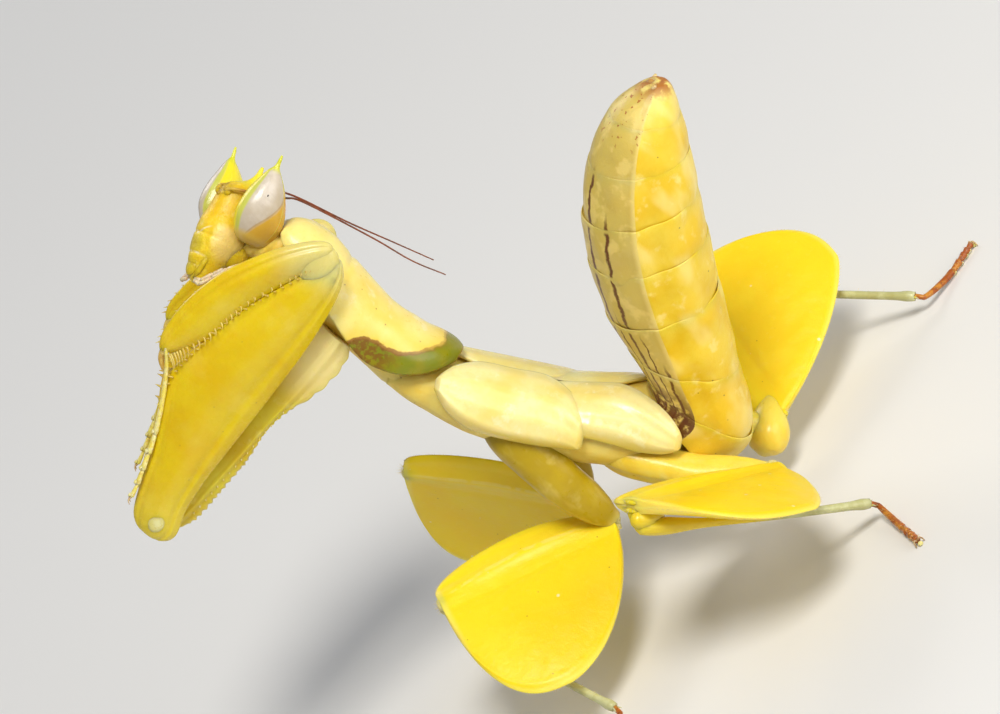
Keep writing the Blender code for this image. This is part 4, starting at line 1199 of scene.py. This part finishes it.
def build_petal(pair, side, sign):
    hip, length, along, down, out = petal_frame(pair, side, sign)
    at = axes(hip, along, down, out)
    k = np.linspace(0, 1, 190)[:, None]
    t = 0.5 - 0.5 * np.cos(math.pi * (0.035 + 0.945 * k))
    crest, depth = crest_height(t) * length, petal_depth(pair, t, side) * length
    q = (0.5 - 0.5 * np.cos(np.linspace(0, math.pi, 84)))[None]
    # v runs from the crest over the rod to the rim; the rod keeps its place at a quarter of the way
    v = np.where(q < 0.25, -crest * (1 - q / 0.25), depth * np.clip((q - 0.25) / 0.75, 0, 1))
    edge = np.sqrt(np.clip(1 - (2 * q - 1) ** 10, 0, 1))
    rod = (
        0.2 * bump(v, -0.42 * np.sin(math.pi * t), 0.5) * np.sin(math.pi * np.clip(0.12 + t * 0.86, 0,
        1)) ** 0.35
    )
    rim = 0.03 * bump(q, 0.955, 0.018) + 0.04 * bump(q, 0.05, 0.03)
    body = 0.13 + 0.15 * np.sin(math.pi * np.clip(q, 0, 1)) ** 0.7
    ends = np.clip(np.minimum(k, 1 - k) / 0.02, 0.35, 1) ** 0.6
    half = (body + rod + rim) * edge * ends
    furrow = -0.1 * bump(v, 0.75, 0.2) * np.sin(math.pi * t) - 0.05 * bump(v, -0.62, 0.18)
    veins = (
        0.008 * np.sin(t * 46 + 1.6 * np.sin(q * 5)) * np.clip((q - 0.35) / 0.2, 0,
        1) * np.clip((0.93 - q) / 0.1, 0, 1)
    )
    dish = 0.25 * np.sin(math.pi * np.clip(v, 0, None) / (PETAL_DEPTH[pair] * length))
    waves = 0.11 * np.sin(t * 9 + 1.0 + 2 * q) * np.clip(q - 0.35, 0, 1)
    middle_n = dish + waves
    v = v * 0.99
    face = at(t * length + 0 * q, v, middle_n + half + furrow * 0.6 + veins)
    back = at(t * length + 0 * q, v, middle_n - half - furrow * 0.4 + veins)
    grid = np.concatenate([face, back[:, ::-1]], 1)
    place = np.stack([np.broadcast_to(t, (190, 168)), np.broadcast_to(np.concatenate([q, q[:, ::-1]], 1),
        (190, 168))], -1)
    if sign < 0:
        grid, place = grid[:, ::-1], place[:, ::-1]
    shape = Shape().grid(grid, place)
    # fringe of fine hairs round the rim and the crest
    for i in range(4, 186, 2):
        for column, way in ((83, 1), (0, -1)):
            root = face[i, column]
            lean = unit(down * way + along * random.uniform(-0.2, 0.5) + out * random.uniform(-0.4, 0.4))
            shape.spine(root - lean * 0.04, root + lean * random.uniform(0.06, 0.16), 0.011, kind=1, sides=4)
    # knee lobes, pale in the mid pair, a bead at the hip end and a tuft of fine hairs at the knee
    knee = at(0.985 * length, 0.1, 0.0)
    for row in (0.17, -0.17):
        shape.bead(knee + out * row - along * 0.05, (0.3, 0.42, 0.14), (along, down, out),
            2 if pair == "mid" else 0)
    shape.bead(at(0.03 * length, 0.05, 0.0), (0.34, 0.42, 0.3), (along, down, out), 0)
    for i in range(22):
        lean = unit(along * random.uniform(0.1, 1) + down * random.uniform(-1, 1) + out * random.uniform(-0.6,
            0.6))
        shape.spine(knee + lean * 0.25, knee + lean * random.uniform(0.42, 0.55), 0.011, kind=1, sides=4)
    shape.make(f"petal_{pair}_{side}", [PETALS[pair], HAIR, BUTTON], [f"{pair}_femur_{side}"], "petal_yellow")
    return hip, along, down, out, length


# The camera's upright and the way back to it, rounded.
STEM_UP, STEM_SIGHT = (-0.52, -0.53, 0.67), (-0.362, 0.848, 0.386)


def far_hind_stem(shape, hip, along, down):
    """The far hind trochanter, laid across the line of sight: it fits the camera's view and no other."""
    tall = unit(STEM_UP)
    wide = unit(np.cross(tall, STEM_SIGHT))
    stem = [
        hip + along * 2.4 + down * 0.35,
        hip + along * 1.3 + down * 0.35,
        hip + along * 0.4 - wide * 0.1,
        hip - tall * 0.5 - wide * 0.32,
        hip - tall * 1.1 - wide * 0.5,
        hip - tall * 1.42 - wide * 0.6,
    ]
    radii = curve([(0.05,), (0.36,), (0.8,), (1.0,), (0.76,), (0.15,)], 50)[:, 0]
    shape.limb(curve(stem, 50), radii, 32, 0, 0.9)


def build_leg(pair, side, sign):
    hip, along, down, out, length = build_petal(pair, side, sign)
    key = f"{pair}_coxa_{side}"
    # coxa: a ribbed cone from the body to the hip
    points = corners(key)
    far = points[np.argsort(np.linalg.norm(points - hip, axis=1))[-5:]].mean(0)
    heading = unit(hip - far)
    start = hip - heading * 5.4
    thick = {"mid": 1.0, "hind": 0.8}[pair]
    rows = curve([(0.1, 0.0), (0.85, 0.015), (1.2, 0.07), (1.2, 0.15), (1.06, 0.28), (0.97, 0.45),
        (0.9, 0.64), (0.74, 0.82), (0.56, 0.93), (0.48, 1.0)], 90)
    path = start + heading * (rows[:, 1:2] * 5.2)
    root = np.clip(1 - rows[:, 1:2] / 0.42, 0, 1) ** 1.6
    inward, forward, lift = {"mid": (1.5, 1.5, 0.9), "hind": (1.2, 2.0, 0.2)}[pair]
    path = (
        path - LEFT * (sign * inward * root) + FORWARD * (forward * root) + DORSAL * (lift * root)
        - heading * (0.5 * root)
    )
    c = around(64)[None]
    across = unit(np.cross(heading, out))
    other = np.cross(heading, across)
    size = thick * rows[:, 0:1] * (1 + 0.05 * np.cos(3 * c) - 0.06 * bump(np.cos(c - 0.8), 1, 0.03)) * 0.985
    grid = path[:, None] + across * (size * np.cos(c))[..., None] + other * (size * np.sin(c))[..., None]
    shape = Shape().grid(grid + (0.015 * lumps(grid, 1.2))[..., None] * across)
    # trochanter: a short pale ring that carries the femur
    joint = hip - heading * 0.28
    shape.limb([joint, hip + along * 0.05, hip + along * 0.5], [0.36, 0.43, 0.33], 28, 1)
    shape.bead(hip - heading * 0.12 + out * 0.12, (0.36, 0.36, 0.36), (along, down, out), 1)
    if key == "hind_coxa_right":
        far_hind_stem(shape, hip, along, down)
    shape.make(f"{pair}_hip_{side}", [HIPS[pair], BUTTON], [key], "coxa_olive")

    # tibia: slender, widening to the ankle, with fine hairs and two end spurs
    ends = flats(f"{pair}_tibia_{side}", 6)
    ends = [face for face in ends if np.ptp(face[2], axis=0).max() < 0.9]
    ends.sort(key=lambda face: np.linalg.norm(face[0] - hip - along * length))
    knee, ankle = ends[0][0], ends[-1][0]
    knee = knee + down * 0.5
    heading = unit(ankle - knee)
    reach = np.linalg.norm(ankle - knee)
    t = np.linspace(0, 1, 90)
    bow = unit(np.cross(heading, across)) * 0.05
    root = hip + along * (length * 0.975) + out * (0.2 * np.sign((knee - hip) @ out))
    path = knee + heading * (t * reach)[:, None] + bow * np.sin(math.pi * t)[:, None] * 2
    path = np.concatenate([curve([root, (root + knee) / 2 + heading * -0.1, knee], 10)[:-1], path])
    t = np.linspace(0, 1, len(path))
    radii = (
        0.155 + 0.09 * bump(t, 0.16, 0.1) + 0.035 * t
        + 0.05 * bump(t, 0.97, 0.03) - 0.05 * bump(t, 0.05, 0.03)
    )
    if pair == "hind":
        radii = radii + 0.13 * bump(t, 0.15, 0.17)
    shape = Shape().limb(path, radii, 28)
    if pair == "hind":
        shape.bead((root + knee) / 2 + heading * 0.45, (0.95, 0.5, 0.52), (along, down, out),
            place=(0.5, 0.0))
    side_way = unit(np.cross(heading, DORSAL))
    for way in (1, -1):
        foot = ankle - heading * 0.12
        shape.spine(foot, foot + heading * 0.35 + side_way * 0.22 * way, 0.09, kind=0, sides=10)
    for i in range(70):
        spot = path[int(12 + i * 1.2)]
        lean = unit(np.array([random.uniform(-1, 1) for _ in range(3)]) + heading * 0.8)
        lean = unit(lean - (lean @ heading) * heading * 0.4)
        shape.spine(spot + lean * 0.13, spot + lean * random.uniform(0.26, 0.34), 0.01, kind=1, sides=4)
    shape.make(f"{pair}_shank_{side}", [SHANKS[pair], HAIR], [f"{pair}_tibia_{side}"], "shank_pale")

    build_foot(pair, side, ankle)


def build_foot(pair, side, ankle):
    """Five tarsal joints, each with its pad beneath, and a pair of curved claws."""
    name = f"{pair}_tarsus_{side}"
    points = corners(name)
    toe = points[np.argsort(np.linalg.norm(points - ankle, axis=1))[-4:]].mean(0)
    top = flats(name, 6)
    top = min(top, key=lambda face: np.linalg.norm(face[0] - ankle))[0]
    plan = unit((toe - top) * (1, 1, 0))
    reach = np.linalg.norm((toe - top) * (1, 1, 0))
    side_way = np.cross((0, 0, 1), plan)
    low = 0.24
    rows = [(0.0, top[2]), (0.16, 0.52), (0.42, 0.3), (0.62, low), (0.8, low), (0.93, low), (1.0, low)]
    table = curve(rows, 101)
    line = top + plan * (table[:, 0:1] * reach * 0.985)
    line[:, 2] = table[:, 1]
    line = np.concatenate([[ankle + (0, 0, 0.02)], line[2:]])
    shape = Shape()
    parts = ((0, 44, 0.17), (44, 58, 0.18), (58, 70, 0.18), (70, 80, 0.17), (80, 98, 0.15))
    for first, last, thick in parts:
        part = line[first:last + 1]
        t = np.linspace(0, 1, len(part))
        radii = thick * (0.68 + 0.32 * t**0.8) * np.clip((1.04 - t) / 0.08, 0.5, 1) ** 0.5
        shape.limb(part, radii, 20, 0, 1.0)
        if last < 98:
            pad = part[-1] - plan * 0.04
            pad[2] = max(pad[2] - thick * 0.62, 0.085)
            shape.bead(pad, (0.16, 0.14, 0.085), (plan, side_way, np.array([0, 0, 1.0])), 1, 8, 14)
    end = line[-3]
    for way in (1, -1):
        claw = [end, end + plan * 0.16 + side_way * 0.12 * way + (0, 0, 0.08), end + plan * 0.3
            + side_way * 0.2 * way - (0, 0, 0.04), end + plan * 0.36 + side_way * 0.22 * way - (0, 0, 0.2)]
        claw = curve(claw, 16)
        claw[:, 2] = np.maximum(claw[:, 2], 0.03)
        reach_end = (claw - top) @ plan
        claw -= plan * np.clip(reach_end - reach, 0, None)[:, None]
        shape.limb(claw, np.linspace(0.06, 0.02, 16), 10, 2)
    pad = end + plan * 0.12
    pad[2] = 0.09
    shape.bead(pad, (0.14, 0.12, 0.09), (plan, side_way, np.array([0, 0, 1.0])), 1, 8, 14)
    for i in range(60):
        spot = line[int(4 + i * 1.5)]
        lean = unit(np.array([random.uniform(-1, 1), random.uniform(-1, 1), random.uniform(-0.2, 1)]))
        shape.spine(spot + lean * 0.12, spot + lean * random.uniform(0.24, 0.3), 0.01, kind=3, sides=4)
    shape.make(f"{pair}_foot_{side}", [FOOT, BUTTON, CLAW, HAIR], [name], "tarsus_rust")


# ---- the whole animal ------------------------------------------------------------------------------
build_thorax()
build_abdomen()
build_shield()
build_prothorax()
build_pads()
build_head()
build_eyes()
build_antennae()
for leg_side, leg_sign in (("left", 1), ("right", -1)):
    build_foreleg(leg_side, leg_sign)
    for leg_pair in ("mid", "hind"):
        build_leg(leg_pair, leg_side, leg_sign)


# ---- floor, light and camera -----------------------------------------------------------------------
def build_stage():
    mesh = bpy.data.meshes.new("floor")
    size = 1.5
    mesh.from_pydata([(-size, -size, 0), (size, -size, 0), (size, size, 0), (-size, size, 0)], [],
        [(0, 1, 2, 3)])
    floor = bpy.data.objects.new("floor", mesh)
    bpy.context.scene.collection.objects.link(floor)
    mat = bpy.data.materials.new("floor_paper")
    mat.use_nodes = True
    mat.node_tree.nodes["Principled BSDF"].inputs["Base Color"].default_value = (0.8, 0.79, 0.76, 1)
    mat.node_tree.nodes["Principled BSDF"].inputs["Roughness"].default_value = 0.9
    mesh.materials.append(mat)


def aim_at(obj, place, target, roll_up=(0, 0, 1)):
    """Stands obj at a place in metres, looking at the target with the given direction upright."""
    back = Vector(place) - Vector(target)
    back.normalize()
    right = Vector(roll_up).cross(back).normalized()
    up = back.cross(right)
    obj.matrix_world = Matrix.Translation(place) @ Matrix((right, up, back)).transposed().to_4x4()


# Each light's name, place and size in metres, power in watts and colour.
LIGHTS = (
    ("key", (-0.14, 0.16, 0.3), 0.12, 0.95, (1.0, 0.97, 0.92)),
    ("fill", (-0.27, 0.12, 0.1), 0.22, 0.42, (1.0, 1.0, 1.0)),
    ("rim", (0.15, -0.25, 0.25), 0.15, 0.22, (1.0, 1.0, 1.0)),
)


def area_light(name, place, size, power, colour):
    light = bpy.data.lights.new(name, "AREA")
    light.shape = "DISK"
    light.size, light.energy, light.color = size, power, colour
    obj = bpy.data.objects.new(name, light)
    bpy.context.scene.collection.objects.link(obj)
    aim_at(obj, place, (0, 0, 0.012))
    return obj


# The camera's place in metres, the way back to it and its upright, from a fit of the pose to the photo.
CAMERA_PLACE = (-0.06775, 0.15696, 0.08506)
CAMERA_BACK, CAMERA_UP = (-0.3620, 0.8484, 0.3863), (-0.5207, -0.5278, 0.6711)
CAMERA_LENS = 157.3


def build_camera():
    """The view of the photo: from the left and a little above, rolled so that the thorax lies level."""
    camera = bpy.data.cameras.new("camera")
    camera.lens, camera.sensor_width = CAMERA_LENS, 36.0
    camera.clip_start, camera.clip_end = 0.01, 10.0
    obj = bpy.data.objects.new("camera", camera)
    bpy.context.scene.collection.objects.link(obj)
    place = Vector(CAMERA_PLACE)
    aim_at(obj, place, place - Vector(CAMERA_BACK), Vector(CAMERA_UP))
    bpy.context.scene.camera = obj


build_stage()
build_camera()
for light in LIGHTS:
    area_light(*light)
world = bpy.data.worlds.new("soft_room")
world.use_nodes = True
world.node_tree.nodes["Background"].inputs[0].default_value = (0.86, 0.9, 1.0, 1)
world.node_tree.nodes["Background"].inputs[1].default_value = 0.3
bpy.context.scene.world = world
bpy.context.scene.view_settings.view_transform = "Standard"
